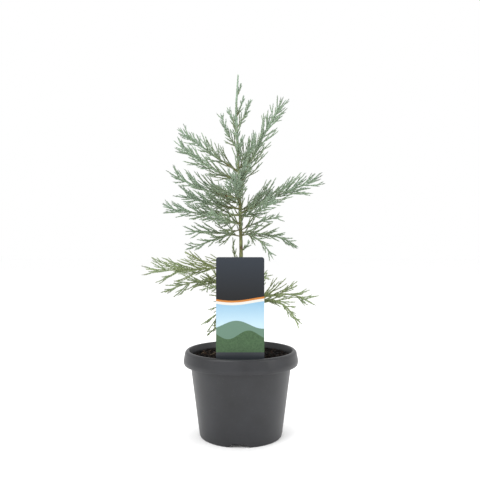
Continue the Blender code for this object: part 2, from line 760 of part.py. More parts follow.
def add_sprigs(bough, twig, number, pieces, taken):
    """Adds a twig's sprigs on alternate sides, where they stay in the mass's space."""
    twig_length = (twig[2] - twig[0]).length
    length = min(SPRIG_LENGTH[1], max(SPRIG_LENGTH[0], SPRIG_LENGTH_SHARE * twig_length))
    for order, (share, least) in enumerate(zip(SPRIG_SHARES, SPRIG_TWIG_LENGTHS)):
        if twig_length < least:
            continue
        base, heading = along(twig, share)
        side = heading.cross(Vector((0.3, 0.2, 1.0))).normalized()
        side = Matrix.Rotation(number * TWIG_TURN + order * math.pi, 3, heading) @ side
        way = (heading * math.cos(SPRIG_SPREAD) + side * math.sin(SPRIG_SPREAD)).normalized()
        tip = base + way * length
        if not taken.is_free([base, tip], SPRIG_HALF_WIDTH, bough.name):
            continue
        across = way.cross(side.cross(heading)).normalized()
        root = base - way * SPRIG_SINK
        add_object("sprig", sprig_mesh("sprig", root, way, across, length + SPRIG_SINK), pieces)
        taken.add([base, tip], [SPRIG_HALF_WIDTH, TWIG_TIP_RADIUS], bough.name)


def remove_collection(collection):
    """Removes a collection and every object in it."""
    for thing in list(collection.objects):
        bpy.data.objects.remove(thing, do_unlink=True)
    bpy.data.collections.remove(collection)


def build_crown(parts, cutters):
    """Builds every bough's limb and mass round the trunk."""
    trunk_room = build_trunk_room(cutters)
    taken = Room()
    heights = trunk_heights()
    trunk_points = [trunk_point(height) for height in heights]
    taken.add(trunk_points, [trunk_radius(height) for height in heights], "trunk")
    paths = {bough.name: bough_path(bough) for bough in BOUGHS}
    for bough in BOUGHS:
        shares = stem_shares(0.0, 1.0, 0.01, bough.length * 0.001)[1:]
        stem = [along(paths[bough.name], share)[0] for share in shares]
        taken.add(stem, [bough_radius(bough, 0.0)] * len(stem), bough.name)
    for bough in BOUGHS:
        if bough.bare:
            build_limb(bough, paths[bough.name], trunk_room, parts, taken)
    for bough in BOUGHS:
        build_mass(bough, paths[bough.name], trunk_room, parts, taken)


def main():
    """Builds the whole plant in its pot."""
    clear_scene()
    parts = make_collection(COLLECTION_NAME)
    cutters = make_collection(COLLECTION_NAME + "_cutters")
    build_pot(parts, cutters)
    build_soil(parts, cutters)
    build_label(parts)
    build_trunk(parts)
    build_crown(parts, cutters)


main()
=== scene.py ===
"""A young glaucous giant sequoia in a dark nursery pot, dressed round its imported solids.

The foliage grows by the same seeded rule as the solids' masses, with finer twigs and scale leaves
added. Lengths are in metres and angles in radians, unless a name or a docstring says otherwise.
"""

import logging
import math
import random
from dataclasses import dataclass
from dataclasses import field
from dataclasses import replace
from enum import Enum

import bmesh
import bpy
import numpy
from mathutils import Matrix
from mathutils import Vector
from mathutils import noise

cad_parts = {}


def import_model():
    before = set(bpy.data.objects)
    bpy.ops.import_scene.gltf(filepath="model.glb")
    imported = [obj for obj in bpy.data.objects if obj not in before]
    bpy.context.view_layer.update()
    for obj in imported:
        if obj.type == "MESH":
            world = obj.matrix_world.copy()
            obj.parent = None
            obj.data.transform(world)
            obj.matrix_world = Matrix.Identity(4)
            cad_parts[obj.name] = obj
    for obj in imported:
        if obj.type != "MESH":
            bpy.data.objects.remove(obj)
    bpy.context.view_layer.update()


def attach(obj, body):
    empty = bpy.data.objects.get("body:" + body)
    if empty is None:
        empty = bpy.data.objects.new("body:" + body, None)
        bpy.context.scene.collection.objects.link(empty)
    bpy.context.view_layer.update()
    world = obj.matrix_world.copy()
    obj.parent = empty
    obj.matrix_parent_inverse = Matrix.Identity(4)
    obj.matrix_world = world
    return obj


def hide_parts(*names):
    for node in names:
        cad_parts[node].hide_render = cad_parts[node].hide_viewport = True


LOG = logging.getLogger("potted_giant_sequoia")
MM = 0.001
GOLDEN_TURN = math.radians(137.5)
UP = Vector((0.0, 0.0, 1.0))
BODY = "root"


def linear(code: str) -> tuple[float, float, float, float]:
    """Turns an sRGB hex value to a linear colour with full alpha.

    Args:
        code: The colour, as a number sign and six hex digits.

    Returns:
        Its linear red, green and blue, and alpha.
    """
    parts = [int(code[start:start + 2], 16) / 255.0 for start in (1, 3, 5)]
    red, green, blue = (
        part / 12.92 if part <= 0.04045 else ((part + 0.055) / 1.055) ** 2.4 for part in parts)
    return (red, green, blue, 1.0)


def eased(share: float) -> float:
    """Clamps a share to 0 to 1 and eases it at both ends."""
    share = min(1.0, max(0.0, share))
    return share * share * (3.0 - 2.0 * share)


def add_node(
        tree: bpy.types.NodeTree, kind: str, inputs: dict | None = None,
        settings: dict | None = None) -> bpy.types.Node:
    """Adds a node with its settings and its inputs.

    Args:
        tree: The material's node tree.
        kind: The node's type name.
        inputs: A socket to link, a hex colour or a value, by the input's name or number.
        settings: Values by property name.

    Returns:
        The new node.
    """
    node = tree.nodes.new(kind)
    for key, value in (settings or {}).items():
        setattr(node, key, value)
    for key, value in (inputs or {}).items():
        if isinstance(value, bpy.types.NodeSocket):
            tree.links.new(value, node.inputs[key])
        else:
            node.inputs[key].default_value = linear(value) if isinstance(value, str) else value
    return node


class Finish:
    """A new material, with short calls for the nodes that a finish needs."""

    def __init__(self, name: str, roughness: float = 0.5, specular: float = 0.5) -> None:
        """Makes the material with its Principled shader.

        Args:
            name: The material's name.
            roughness: Its roughness.
            specular: How strongly it reflects straight on.
        """
        self.material = bpy.data.materials.new(name)
        self.material.use_nodes = True
        self.tree = self.material.node_tree
        self.shader = self.tree.nodes["Principled BSDF"]
        self.shader.inputs["Roughness"].default_value = roughness
        self.shader.inputs["Specular IOR Level"].default_value = specular
        self.coordinates = add_node(self.tree, "ShaderNodeTexCoord").outputs

    def noise(
            self, size_mm: float, detail: float, roughness: float = 0.5,
            place: bpy.types.NodeSocket | None = None) -> bpy.types.NodeSocket:
        """Adds a noise of a real size, on Object coordinates unless a place is given.

        Args:
            size_mm: How large its features are.
            detail: How many finer layers it has.
            roughness: How strong the finer layers are.
            place: Where it is read, or None for Object coordinates.

        Returns:
            The noise's value.
        """
        inputs = {"Vector": place or self.coordinates["Object"], "Scale": 1.0 / (size_mm * MM),
                  "Detail": detail, "Roughness": roughness}
        return add_node(self.tree, "ShaderNodeTexNoise", inputs).outputs["Fac"]

    def tone(self) -> tuple[bpy.types.NodeSocket, ...]:
        """Reads the tone attribute's three values.

        Returns:
            Its red, green and blue.
        """
        tone = add_node(self.tree, "ShaderNodeAttribute", None, {"attribute_name": "tone"})
        parts = add_node(self.tree, "ShaderNodeSeparateColor", {"Color": tone.outputs["Color"]})
        return tuple(parts.outputs[name] for name in ("Red", "Green", "Blue"))

    def ramp(self, share: bpy.types.NodeSocket, *stops: tuple[float, str]) -> bpy.types.NodeSocket:
        """Turns a share to a colour by stops, each a position and a hex colour.

        Args:
            share: The share, from 0 to 1.
            *stops: The stops, from low to high.

        Returns:
            The colour.
        """
        node = add_node(self.tree, "ShaderNodeValToRGB", {"Fac": share})
        elements = node.color_ramp.elements
        while len(elements) < len(stops):
            elements.new(0.5)
        for element, (position, code) in zip(elements, stops):
            element.position = position
            element.color = linear(code)
        return node.outputs["Color"]

    def mix(
            self, share: bpy.types.NodeSocket, low: bpy.types.NodeSocket | str,
            high: bpy.types.NodeSocket | str) -> bpy.types.NodeSocket:
        """Mixes two colours by a share."""
        inputs = {0: share, 6: low, 7: high}
        return add_node(self.tree, "ShaderNodeMix", inputs, {"data_type": "RGBA"}).outputs[2]

    def math(self, operation: str, *values: bpy.types.NodeSocket | float) -> bpy.types.NodeSocket:
        """Works out one operation on sockets or numbers."""
        inputs = dict(enumerate(values))
        return add_node(self.tree, "ShaderNodeMath", inputs, {"operation": operation}).outputs[0]

    def remap(
            self, value: bpy.types.NodeSocket, low: float, high: float, to_low: float = 0.0,
            to_high: float = 1.0) -> bpy.types.NodeSocket:
        """Maps a value from one range to another, clamped.

        Args:
            value: The value.
            low: The start of its range.
            high: The end of its range.
            to_low: What the start becomes.
            to_high: What the end becomes.

        Returns:
            The new value.
        """
        inputs = {"Value": value, "From Min": low, "From Max": high, "To Min": to_low,
                  "To Max": to_high}
        return add_node(self.tree, "ShaderNodeMapRange", inputs).outputs["Result"]

    def feed(self, name: str, socket: bpy.types.NodeSocket) -> None:
        """Links a socket to an input of the Principled shader."""
        self.tree.links.new(socket, self.shader.inputs[name])

    def bump(self, height: bpy.types.NodeSocket, strength: float, distance: float) -> None:
        """Bumps the shader's normal by a height."""
        inputs = {"Height": height, "Strength": strength, "Distance": distance}
        self.feed("Normal", add_node(self.tree, "ShaderNodeBump", inputs).outputs["Normal"])


@dataclass(frozen=True)
class MouldedPolypropylene:
    """Injection-moulded polypropylene with carbon black: a satin skin, faintly grained and dusty."""

    dark: str = "#17181b"
    light: str = "#212226"
    dust: str = "#6d6a66"
    roughness: float = 0.40
    refraction: float = 1.49
    cloud_mm: float = 28.0
    speck_mm: float = 1.1
    grain_mm: float = 0.45

    def material(self) -> bpy.types.Material:
        """Builds the plastic with its clouds, its specks of peat dust and its grain.

        Returns:
            The material.
        """
        finish = Finish("moulded_polypropylene_anthracite")
        finish.shader.inputs["IOR"].default_value = self.refraction
        cloud = finish.noise(self.cloud_mm, 5.0)
        skin = finish.ramp(cloud, (0.3, self.dark), (0.72, self.light))
        specks = finish.remap(finish.noise(self.speck_mm, 2.0), 0.66, 0.8, 0.0, 0.3)
        finish.feed("Base Color", finish.mix(specks, skin, self.dust))
        rough = finish.remap(cloud, 0.0, 1.0, self.roughness - 0.05, self.roughness + 0.08)
        finish.feed("Roughness", rough)
        finish.bump(finish.noise(self.grain_mm, 3.0), 0.12, 0.0002)
        return finish.material


@dataclass(frozen=True)
class PottingMixFinish:
    """Moist bark and peat: near black crumbs with brown and paler bits, dull all over."""

    shadow: str = "#060504"
    peat: str = "#120e0c"
    bark: str = "#33251d"
    pale: str = "#8a7c66"
    crumb_mm: float = 1.6

    def material(self) -> bpy.types.Material:
        """Builds the mix. The tone attribute deals out each bit's colour.

        Returns:
            The material.
        """
        finish = Finish("moist_bark_and_peat", 0.88, 0.12)
        crumbs = finish.noise(self.crumb_mm, 6.0, 0.7)
        share = finish.remap(finish.math("ADD", finish.tone()[0], crumbs), 0.35, 1.75)
        stops = ((0.0, self.shadow), (0.4, self.peat), (0.7, self.bark), (1.0, self.pale))
        finish.feed("Base Color", finish.ramp(share, *stops))
        finish.bump(crumbs, 0.8, 0.0006)
        return finish.material


@dataclass(frozen=True)
class YoungBark:
    """Thin young bark: olive skin that cracks into brown and tan strips along the limb."""

    brown: str = "#564228"
    olive: str = "#5c6438"
    green: str = "#7f8558"
    tan: str = "#8d7950"
    crack_mm: float = 1.2
    crack_draw: float = 0.22
    patch_mm: float = 9.0

    def material(self) -> bpy.types.Material:
        """Builds the bark. Its cracks are drawn out along Z, as they run up the limb.

        Returns:
            The material.
        """
        finish = Finish("young_olive_bark", 0.74)
        inputs = {"Vector": finish.coordinates["Object"], "Scale": (1.0, 1.0, self.crack_draw)}
        drawn = add_node(finish.tree, "ShaderNodeMapping", inputs).outputs["Vector"]
        cracks = finish.noise(self.crack_mm, 4.0, 0.65, drawn)
        patches = finish.noise(self.patch_mm, 3.0)
        skin = finish.ramp(patches, (0.36, self.brown), (0.5, self.olive), (0.68, self.green))
        depth = finish.remap(cracks, 0.52, 0.7, 0.0, 0.7)
        finish.feed("Base Color", finish.mix(depth, skin, self.tan))
        finish.bump(cracks, 0.6, 0.0004)
        return finish.material


@dataclass(frozen=True)
class WaxyScaleLeaf:
    """Scale leaves under a waxy bloom: green inside the crown, grey-green towards the tips.

    The tone attribute holds the spray's own shade, how far out the leaf sits and how warm it is.
    """

    name: str
    inner: str
    bloom: str
    warm: str
    tip: str
    roughness: float = 0.62
    mottle_mm: float = 3.0

    def material(self) -> bpy.types.Material:
        """Builds the leaves' material.

        Returns:
            The material.
        """
        finish = Finish(self.name, self.roughness, 0.35)
        spray, outer, warmth = finish.tone()
        stops = ((0.05, self.inner), (0.55, self.bloom), (0.9, self.bloom), (1.0, self.tip))
        warmed = finish.mix(warmth, finish.ramp(outer, *stops), self.warm)
        shade = finish.math("ADD", spray, finish.noise(self.mottle_mm, 2.0))
        inputs = {"Color": warmed, "Value": finish.remap(shade, 0.3, 1.7, 0.72, 1.22)}
        final = add_node(finish.tree, "ShaderNodeHueSaturation", inputs)
        finish.feed("Base Color", final.outputs["Color"])
        return finish.material


@dataclass(frozen=True)
class Wave:
    """A level line with one soft wave in it, in millimetres."""

    height: float
    swing: float
    pace: float
    start: float

    def line(self, finish: Finish, across: bpy.types.NodeSocket) -> bpy.types.NodeSocket:
        """Gives the line's height at a place across the card."""
        angle = finish.math("MULTIPLY_ADD", across, self.pace, self.start)
        return finish.math("MULTIPLY_ADD", finish.math("SINE", angle), self.swing, self.height)


@dataclass(frozen=True)
class PrintedCard:
    """Printed polystyrene card with a plain landscape of bands and hills, and a bare back."""

    slate_top: str = "#272d35"
    slate_low: str = "#101113"
    cream: str = "#cbc9c2"
    orange: str = "#b26f2e"
    sky_high: str = "#7ba4bf"
    sky_low: str = "#adc6d2"
    far_hill: str = "#5c7868"
    hill_dark: str = "#16291a"
    hill_light: str = "#4f6f49"
    foot: str = "#2f3338"
    back: str = "#b9b9b6"
    panel_top_mm: float = 262.0
    foot_mm: float = 133.0
    leaf_mm: float = 1.0 / 0.45
    band: Wave = Wave(206.0, 3.2, 0.055, -0.9)
    far: Wave = Wave(171.0, 5.5, 0.085, 2.1)
    near: Wave = Wave(157.0, 6.0, 0.11, 0.4)

    def material(self) -> bpy.types.Material:
        """Builds the print as layers, each over the last below or above its line.

        Returns:
            The material.
        """
        finish = Finish("printed_polystyrene_card", 0.34, 0.3)
        place = add_node(finish.tree, "ShaderNodeSeparateXYZ", {0: finish.coordinates["Object"]})
        across = finish.math("MULTIPLY", place.outputs["X"], 1.0 / MM)
        height = finish.math("MULTIPLY", place.outputs["Z"], 1.0 / MM)
        sky_share = finish.remap(height, self.far.height, self.band.height)
        panel_share = finish.remap(height, self.band.height, self.panel_top_mm)
        panel = finish.mix(panel_share, self.slate_low, self.slate_top)
        near_hill = finish.mix(finish.noise(self.leaf_mm, 5.0, 0.7), self.hill_dark, self.hill_light)
        band = self.band.line(finish, across)
        layers = (
            ("LESS_THAN", self.far.line(finish, across), 0.0, self.far_hill),
            ("LESS_THAN", self.near.line(finish, across), 0.0, near_hill),
            ("LESS_THAN", 0.0, self.foot_mm, self.foot),
            ("GREATER_THAN", band, -5.0, self.cream),
            ("GREATER_THAN", band, -1.4, self.orange),
            ("GREATER_THAN", band, 1.2, panel),
        )
        picture = finish.mix(sky_share, self.sky_low, self.sky_high)
        for operation, line, offset, colour in layers:
            inside = finish.math(operation, finish.math("SUBTRACT", height, line), offset)
            picture = finish.mix(inside, picture, colour)
        facing = add_node(finish.tree, "ShaderNodeSeparateXYZ", {0: finish.coordinates["Normal"]})
        front = finish.math("LESS_THAN", facing.outputs["Y"], -0.5)
        finish.feed("Base Color", finish.mix(front, self.back, picture))
        return finish.material


def link(name: str, data: bpy.types.ID) -> bpy.types.Object:
    """Makes an object of some data and links it to the scene.

    Args:
        name: The object's name.
        data: Its mesh, lamp or camera.

    Returns:
        The object.
    """
    thing = bpy.data.objects.new(name, data)
    bpy.context.scene.collection.objects.link(thing)
    return thing


def to_mesh(work: bmesh.types.BMesh, name: str) -> bpy.types.Mesh:
    """Turns a bmesh to a mesh, and frees it.

    Args:
        work: The bmesh.
        name: The mesh's name.

    Returns:
        The mesh.
    """
    mesh = bpy.data.meshes.new(name)
    work.to_mesh(mesh)
    work.free()
    return mesh


def spun(section: list[tuple[float, float]], sides: int) -> bmesh.types.BMesh:
    """Spins a section of radii and heights into a closed form.

    Args:
        section: The section from the axis and back to it.
        sides: How many sides the form has.

    Returns:
        The form.
    """
    work = bmesh.new()
    points = [work.verts.new((radius, 0.0, height)) for radius, height in section]
    edges = [work.edges.new(pair) for pair in zip(points, points[1:])]
    bmesh.ops.spin(
        work, geom=points + edges, cent=(0.0, 0.0, 0.0), axis=UP, angle=math.tau, steps=sides,
        use_merge=True)
    bmesh.ops.remove_doubles(work, verts=work.verts, dist=0.000002)
    bmesh.ops.recalc_face_normals(work, faces=work.faces)
    return work


def set_tones(mesh: bpy.types.Mesh, tones: numpy.ndarray) -> None:
    """Gives a mesh its tone attribute, from one row of three values a point.

    Args:
        mesh: The mesh.
        tones: The tones, one row a point.
    """
    attribute = mesh.attributes.new("tone", "FLOAT_COLOR", "POINT")
    rows = numpy.hstack((tones, numpy.ones((len(tones), 1)))).astype(numpy.float32)
    attribute.data.foreach_set("color", rows.ravel())


def make_piece(
        name: str, mesh: bpy.types.Mesh, material: bpy.types.Material,
        nodes: tuple[str, ...] = (), sharp: float | None = None) -> None:
    """Makes a finished piece that rides on the plant's body.

    Args:
        name: The piece's name.
        mesh: Its mesh, in place.
        material: Its material.
        nodes: The solids that it stands for.
        sharp: The angle past which its edges stay sharp, in degrees, or None for all smooth.
    """
    mesh.name = name
    mesh.materials.clear()
    mesh.materials.append(material)
    mesh.shade_smooth()
    if sharp is not None:
        mesh.set_sharp_from_angle(angle=math.radians(sharp))
    piece = link(name, mesh)
    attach(piece, BODY)
    if nodes:
        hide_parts(*nodes)
    LOG.info("%s: %d triangles", name, sum(len(face.vertices) - 2 for face in mesh.polygons))


@dataclass(frozen=True)
class Template:
    """A small mesh that mesh operators made once, whose copies are joined into pieces."""

    places: numpy.ndarray
    faces: numpy.ndarray

    @classmethod
    def taken_from(cls, work: bmesh.types.BMesh) -> "Template":
        """Takes the triangles of a bmesh, and frees it.

        Args:
            work: The bmesh.

        Returns:
            The template.
        """
        bmesh.ops.triangulate(work, faces=work.faces)
        work.verts.index_update()
        places = numpy.array([vertex.co[:] for vertex in work.verts])
        faces = numpy.array([[corner.index for corner in face.verts] for face in work.faces])
        work.free()
        return cls(places, faces)

    @classmethod
    def tube(cls, sides: int, rings: int) -> "Template":
        """Makes a closed tube of unit radius from height 0 to 1.

        Args:
            sides: How many sides it has.
            rings: How many rings of points it has.

        Returns:
            The tube's template.
        """
        work = bmesh.new()
        bmesh.ops.create_cone(
            work, cap_ends=True, cap_tris=True, segments=sides, radius1=1.0, radius2=1.0,
            depth=1.0, matrix=Matrix.Translation((0.0, 0.0, 0.5)))
        upright = [edge for edge in work.edges if abs(edge.verts[0].co.z - edge.verts[1].co.z) > 0.5]
        bmesh.ops.subdivide_edges(work, edges=upright, cuts=rings - 2, use_grid_fill=True)
        return cls.taken_from(work)

    @classmethod
    def scale_leaf(cls, widest: float, half_width: float, half_thickness: float) -> "Template":
        """Makes a pointed, three-sided leaf of unit length along Z, by shares of its length.

        Args:
            widest: Where along it the leaf is widest.
            half_width: Half its width.
            half_thickness: Half its thickness.

        Returns:
            The leaf's template.
        """
        work = bmesh.new()
        bmesh.ops.create_uvsphere(work, u_segments=3, v_segments=2, radius=1.0)
        for vertex in work.verts:
            share = 0.0 if vertex.co.z < -0.5 else (1.0 if vertex.co.z > 0.5 else widest)
            vertex.co = (vertex.co.x * half_width, vertex.co.y * half_thickness, share)
        return cls.taken_from(work)

    @classmethod
    def chip(cls) -> "Template":
        """Makes a splinter of bark: a cube whose ends are drawn to uneven points.

        Returns:
            The splinter's template.
        """
        work = bmesh.new()
        bmesh.ops.create_cube(work, size=1.0)
        for vertex in work.verts:
            if vertex.co.x > 0.0:
                vertex.co.y *= 0.45
                vertex.co.z *= 0.7
            elif vertex.co.y > 0.0:
                vertex.co.x *= 0.6
        return cls.taken_from(work)


class JoinedMesh:
    """Collects placed copies of templates and makes one mesh of them."""

    def __init__(self) -> None:
        """Starts empty."""
        self.places: list[numpy.ndarray] = []
        self.faces: list[numpy.ndarray] = []
        self.tones: list[numpy.ndarray] = []
        self.count = 0

    def add(self, places: numpy.ndarray, faces: numpy.ndarray, tones: numpy.ndarray) -> None:
        """Adds placed points, their triangles by row, and each point's tone.

        Args:
            places: The points, one row each.
            faces: The triangles' corners, as numbers of rows in places.
            tones: One tone of three values for each point.
        """
        self.places.append(places)
        self.faces.append(faces + self.count)
        self.tones.append(tones)
        self.count += len(places)

    def mesh(self, name: str) -> bpy.types.Mesh:
        """Makes the joined mesh with its tone attribute.

        Args:
            name: The mesh's name.

        Returns:
            The mesh.
        """
        places = numpy.concatenate(self.places).astype(numpy.float32)
        faces = numpy.concatenate(self.faces).astype(numpy.int32)
        mesh = bpy.data.meshes.new(name)
        mesh.vertices.add(len(places))
        mesh.vertices.foreach_set("co", places.ravel())
        mesh.loops.add(faces.size)
        mesh.loops.foreach_set("vertex_index", faces.ravel())
        mesh.polygons.add(len(faces))
        mesh.polygons.foreach_set("loop_start", numpy.arange(0, faces.size, 3, dtype=numpy.int32))
        set_tones(mesh, numpy.concatenate(self.tones))
        mesh.update(calc_edges=True)
        return mesh


def unit(rows: numpy.ndarray) -> numpy.ndarray:
    """Brings each row to unit length."""
    return rows / numpy.maximum(numpy.linalg.norm(rows, axis=-1, keepdims=True), 1e-9)


def between(spots: numpy.ndarray, known: numpy.ndarray, rows: numpy.ndarray) -> numpy.ndarray:
    """Interpolates rows of three values, known at some places, at other spots."""
    return numpy.stack([numpy.interp(spots, known, rows[:, axis]) for axis in range(3)], axis=1)


def rows_of(points: list[Vector]) -> numpy.ndarray:
    """Turns points to rows of numbers."""
    return numpy.array([tuple(point) for point in points])


def bent_tube(template: Template, path: numpy.ndarray, radii: numpy.ndarray) -> numpy.ndarray:
    """Lays a tube along a path.

    Args:
        template: The straight tube.
        path: The path's points, one row each.
        radii: The tube's radius at each of them.

    Returns:
        The tube's points.
    """
    known = numpy.arange(len(path))
    spots = template.places[:, 2] * (len(path) - 1)
    heading = unit(between(spots, known, numpy.gradient(path, axis=0)))
    chord = path[-1] - path[0]
    side = numpy.array((chord[1], -chord[0], 0.0))
    if numpy.hypot(chord[0], chord[1]) <= 0.2 * abs(chord[2]):
        side = numpy.array((1.0, 0.0, 0.0))
    side = unit(side)
    first = unit(side - heading * (heading @ side)[:, None])
    ring = first * template.places[:, :1] + numpy.cross(heading, first) * template.places[:, 1:2]
    return between(spots, known, path) + ring * numpy.interp(spots, known, radii)[:, None]


@dataclass
class NurseryPot:
    """The moulded pot: rolled collar, pressed label seat, tapered wall and footed base."""

    height: float = 0.126
    foot_radius: float = 0.060
    collar_radius: float = 0.085
    collar_bottom: float = 0.105
    wall: float = 0.0015
    floor: float = 0.007
    wall_slope: float = 0.1305
    seat_depth: float = 0.0016
    seat_half_angle: float = math.radians(24.0)
    seat_blend: float = math.radians(5.0)
    channel_count: int = 4
    channel_turn: float = math.radians(-92.5)
    channel_height: float = 0.0055
    channel_top: float = 0.0186
    channel_bottom: float = 0.0322
    channel_start: float = 0.022
    channel_depth: float = -0.002
    sides: int = 144
    finish: MouldedPolypropylene = MouldedPolypropylene()

    def wall_radius(self, height: float) -> float:
        """The outer radius of the tapered wall at a height."""
        return self.foot_radius + 0.001 + self.wall_slope * height

    def section(self) -> list[tuple[float, float]]:
        """The pot's section, from the middle of its floor over the lip and down to the base.

        Each corner has a radius, a height and how far its rounding reaches.

        Returns:
            The section's radii and heights.
        """
        lip = self.height
        bottom = self.collar_bottom
        collar = self.collar_radius
        corners = (
            (0.0, self.floor, 0.0),
            (self.wall_radius(self.floor) - self.wall, self.floor, 0.0015),
            (self.wall_radius(0.118) - self.wall, 0.118, 0.001),
            (0.0769, lip - 0.0006, 0.0005),
            (0.0778, lip, 0.0004),
            (0.0800, lip, 0.0008),
            (0.0826, lip - 0.0024, 0.0014),
            (collar, bottom + 0.0065, 0.0012),
            (collar - 0.0001, bottom + 0.003, 0.0015),
            (collar - 0.0011, bottom, 0.0008),
            (collar - 0.0023, bottom, 0.0005),
            (collar - 0.0014, bottom + 0.0055, 0.0008),
            (0.0814, lip - 0.0037, 0.0008),
            (0.0792, lip - 0.0018, 0.0005),
            (0.0781, lip - 0.0026, 0.0005),
            (self.wall_radius(bottom), bottom, 0.002),
            (self.foot_radius + 0.0012, 0.0015, 0.0012),
            (self.foot_radius, 0.0, 0.0008),
            (0.0, 0.0, 0.0),
        )
        outline = [corners[0][:2]]
        for before, corner, after in zip(corners, corners[1:], corners[2:]):
            outline.extend(self.rounded(before, corner, after))
        outline.append(corners[-1][:2])
        return outline

    def rounded(
            self, before: tuple[float, ...], corner: tuple[float, ...], after: tuple[float, ...],
            steps: int = 4) -> list[tuple[float, float]]:
        """Gives the points that take a corner's place, between its neighbours.

        Args:
            before: The corner before it.
            corner: The corner, as radius, height and how far its rounding reaches.
            after: The corner after it.
            steps: How many straight steps the rounding has.

        Returns:
            The points' radii and heights.
        """
        middle = Vector(corner[:2])
        ends = []
        for neighbour in (before, after):
            way = Vector(neighbour[:2]) - middle
            ends.append(middle + way.normalized() * min(corner[2], way.length * 0.45))
        shares = [step / steps for step in range(steps + 1)]
        return [tuple(ends[0].lerp(middle, share).lerp(middle.lerp(ends[1], share), share))
                for share in shares]

    def press_label_seat(self, work: bmesh.types.BMesh) -> None:
        """Presses the front of the collar inwards, where a label leans on it.

        Args:
            work: The pot's form.
        """
        skirt_radius = self.wall_radius(self.collar_bottom) + 0.0035
        reach = self.seat_half_angle + self.seat_blend
        for vertex in work.verts:
            radius = math.hypot(vertex.co.x, vertex.co.y)
            if vertex.co.z < self.collar_bottom - 0.001 or radius < skirt_radius:
                continue
            away = abs(math.atan2(vertex.co.x, -vertex.co.y))
            pressed = eased((reach - away) / (2.0 * self.seat_blend))
            pressed *= eased((self.height - vertex.co.z) / 0.008)
            vertex.co.xy *= 1.0 - self.seat_depth * pressed / radius

    def channel(self, turn: float) -> bpy.types.Object:
        """Makes the cutter of a drainage channel, a rounded prism that lies along a radius.

        Args:
            turn: The channel's turn round Z.

        Returns:
            The cutter.
        """
        work = bmesh.new()
        widening = (self.channel_bottom - self.channel_top) / self.channel_height
        bmesh.ops.create_cube(work, size=1.0)
        for vertex in work.verts:
            top = vertex.co.z > 0.0
            width = self.channel_bottom - widening * self.channel_depth
            vertex.co.y *= self.channel_top if top else width
            vertex.co.z = self.channel_height if top else self.channel_depth
            vertex.co.x = self.collar_radius if vertex.co.x > 0.0 else self.channel_start
        upper = [edge for edge in work.edges if all(end.co.z > 0.0 for end in edge.verts)]
        bmesh.ops.bevel(
            work, geom=upper, offset=0.0014, segments=3, profile=0.5, affect="EDGES", material=-1)
        bmesh.ops.rotate(work, verts=work.verts, matrix=Matrix.Rotation(turn, 3, "Z"))
        return link("channel", to_mesh(work, "channel"))

    def mesh(self) -> bpy.types.Mesh:
        """Spins the section into the pot and cuts the channels under it.

        Returns:
            The pot's mesh.
        """
        work = spun(self.section(), self.sides)
        self.press_label_seat(work)
        pot = link("uncut_pot", to_mesh(work, "pot_shell"))
        things = [pot]
        for number in range(self.channel_count):
            cutter = self.channel(self.channel_turn + number * math.tau / self.channel_count)
            things.append(cutter)
            modifier = pot.modifiers.new("channel", "BOOLEAN")
            modifier.operation = "DIFFERENCE"
            modifier.object = cutter
        bpy.context.view_layer.update()
        graph = bpy.context.evaluated_depsgraph_get()
        cut = bpy.data.meshes.new_from_object(pot.evaluated_get(graph), depsgraph=graph)
        for thing in things:
            bpy.data.objects.remove(thing, do_unlink=True)
        return cut

    def build(self) -> None:
        """Builds the pot's piece."""
        make_piece("pot_shell", self.mesh(), self.finish.material(), ("pot",), sharp=38.0)


@dataclass
class PlantLabel:
    """The upright card whose narrow foot stands in the soil."""

    width: float = 0.0665
    top: float = 0.264
    shoulder: float = 0.1130
    foot: float = 0.068
    tab_width: float = 0.025
    tab_taper: float = 0.3
    thickness: float = 0.001
    corner: float = 0.0035
    across: float = -0.001
    along: float = -0.0625
    finish: PrintedCard = PrintedCard()

    def mesh(self) -> bpy.types.Mesh:
        """Shapes the card from a cube with a narrower tab drawn out of its lower edge.

        Returns:
            The card's mesh.
        """
        work = bmesh.new()
        bmesh.ops.create_cube(work, size=1.0)
        for vertex in work.verts:
            height = self.top if vertex.co.z > 0.0 else self.shoulder
            vertex.co = (vertex.co.x * self.width, vertex.co.y * self.thickness, height)
        lower = [face for face in work.faces if face.normal.z < -0.9]
        bmesh.ops.inset_region(work, faces=lower, thickness=0.0, use_even_offset=False)
        for vertex in lower[0].verts:
            vertex.co.x = math.copysign(self.tab_width / 2.0, vertex.co.x)
        drawn = bmesh.ops.extrude_face_region(work, geom=lower)
        bmesh.ops.delete(work, geom=lower, context="FACES_ONLY")
        for item in drawn["geom"]:
            if isinstance(item, bmesh.types.BMVert):
                item.co.z = self.foot
                item.co.x *= self.tab_taper
        corners = [
            edge for edge in work.edges
            if all(end.co.z > self.top - 0.0001 for end in edge.verts)
            and abs(edge.verts[0].co.y - edge.verts[1].co.y) > self.thickness * 0.5]
        bmesh.ops.bevel(
            work, geom=corners, offset=self.corner, segments=6, profile=0.5, affect="EDGES",
            material=-1)
        bmesh.ops.translate(work, verts=work.verts, vec=(self.across, self.along, 0.0))
        bmesh.ops.recalc_face_normals(work, faces=work.faces)
        return to_mesh(work, "plant_label_card")

    def holds(self, places: numpy.ndarray, margin: float) -> numpy.ndarray:
        """Says which rows of points lie in the card's space, or within a margin of it.

        Args:
            places: The points, one row each.
            margin: How far round the card its space reaches.

        Returns:
            True for each point inside.
        """
        beside = numpy.abs(places[:, 0] - self.across) < self.width / 2.0 + margin
        before = numpy.abs(places[:, 1] - self.along) < self.thickness / 2.0 + margin
        return beside & before & (places[:, 2] < self.top + margin)

    def build(self) -> None:
        """Builds the card's piece."""
        material = self.finish.material()
        make_piece("plant_label_card", self.mesh(), material, ("label",), sharp=40.0)


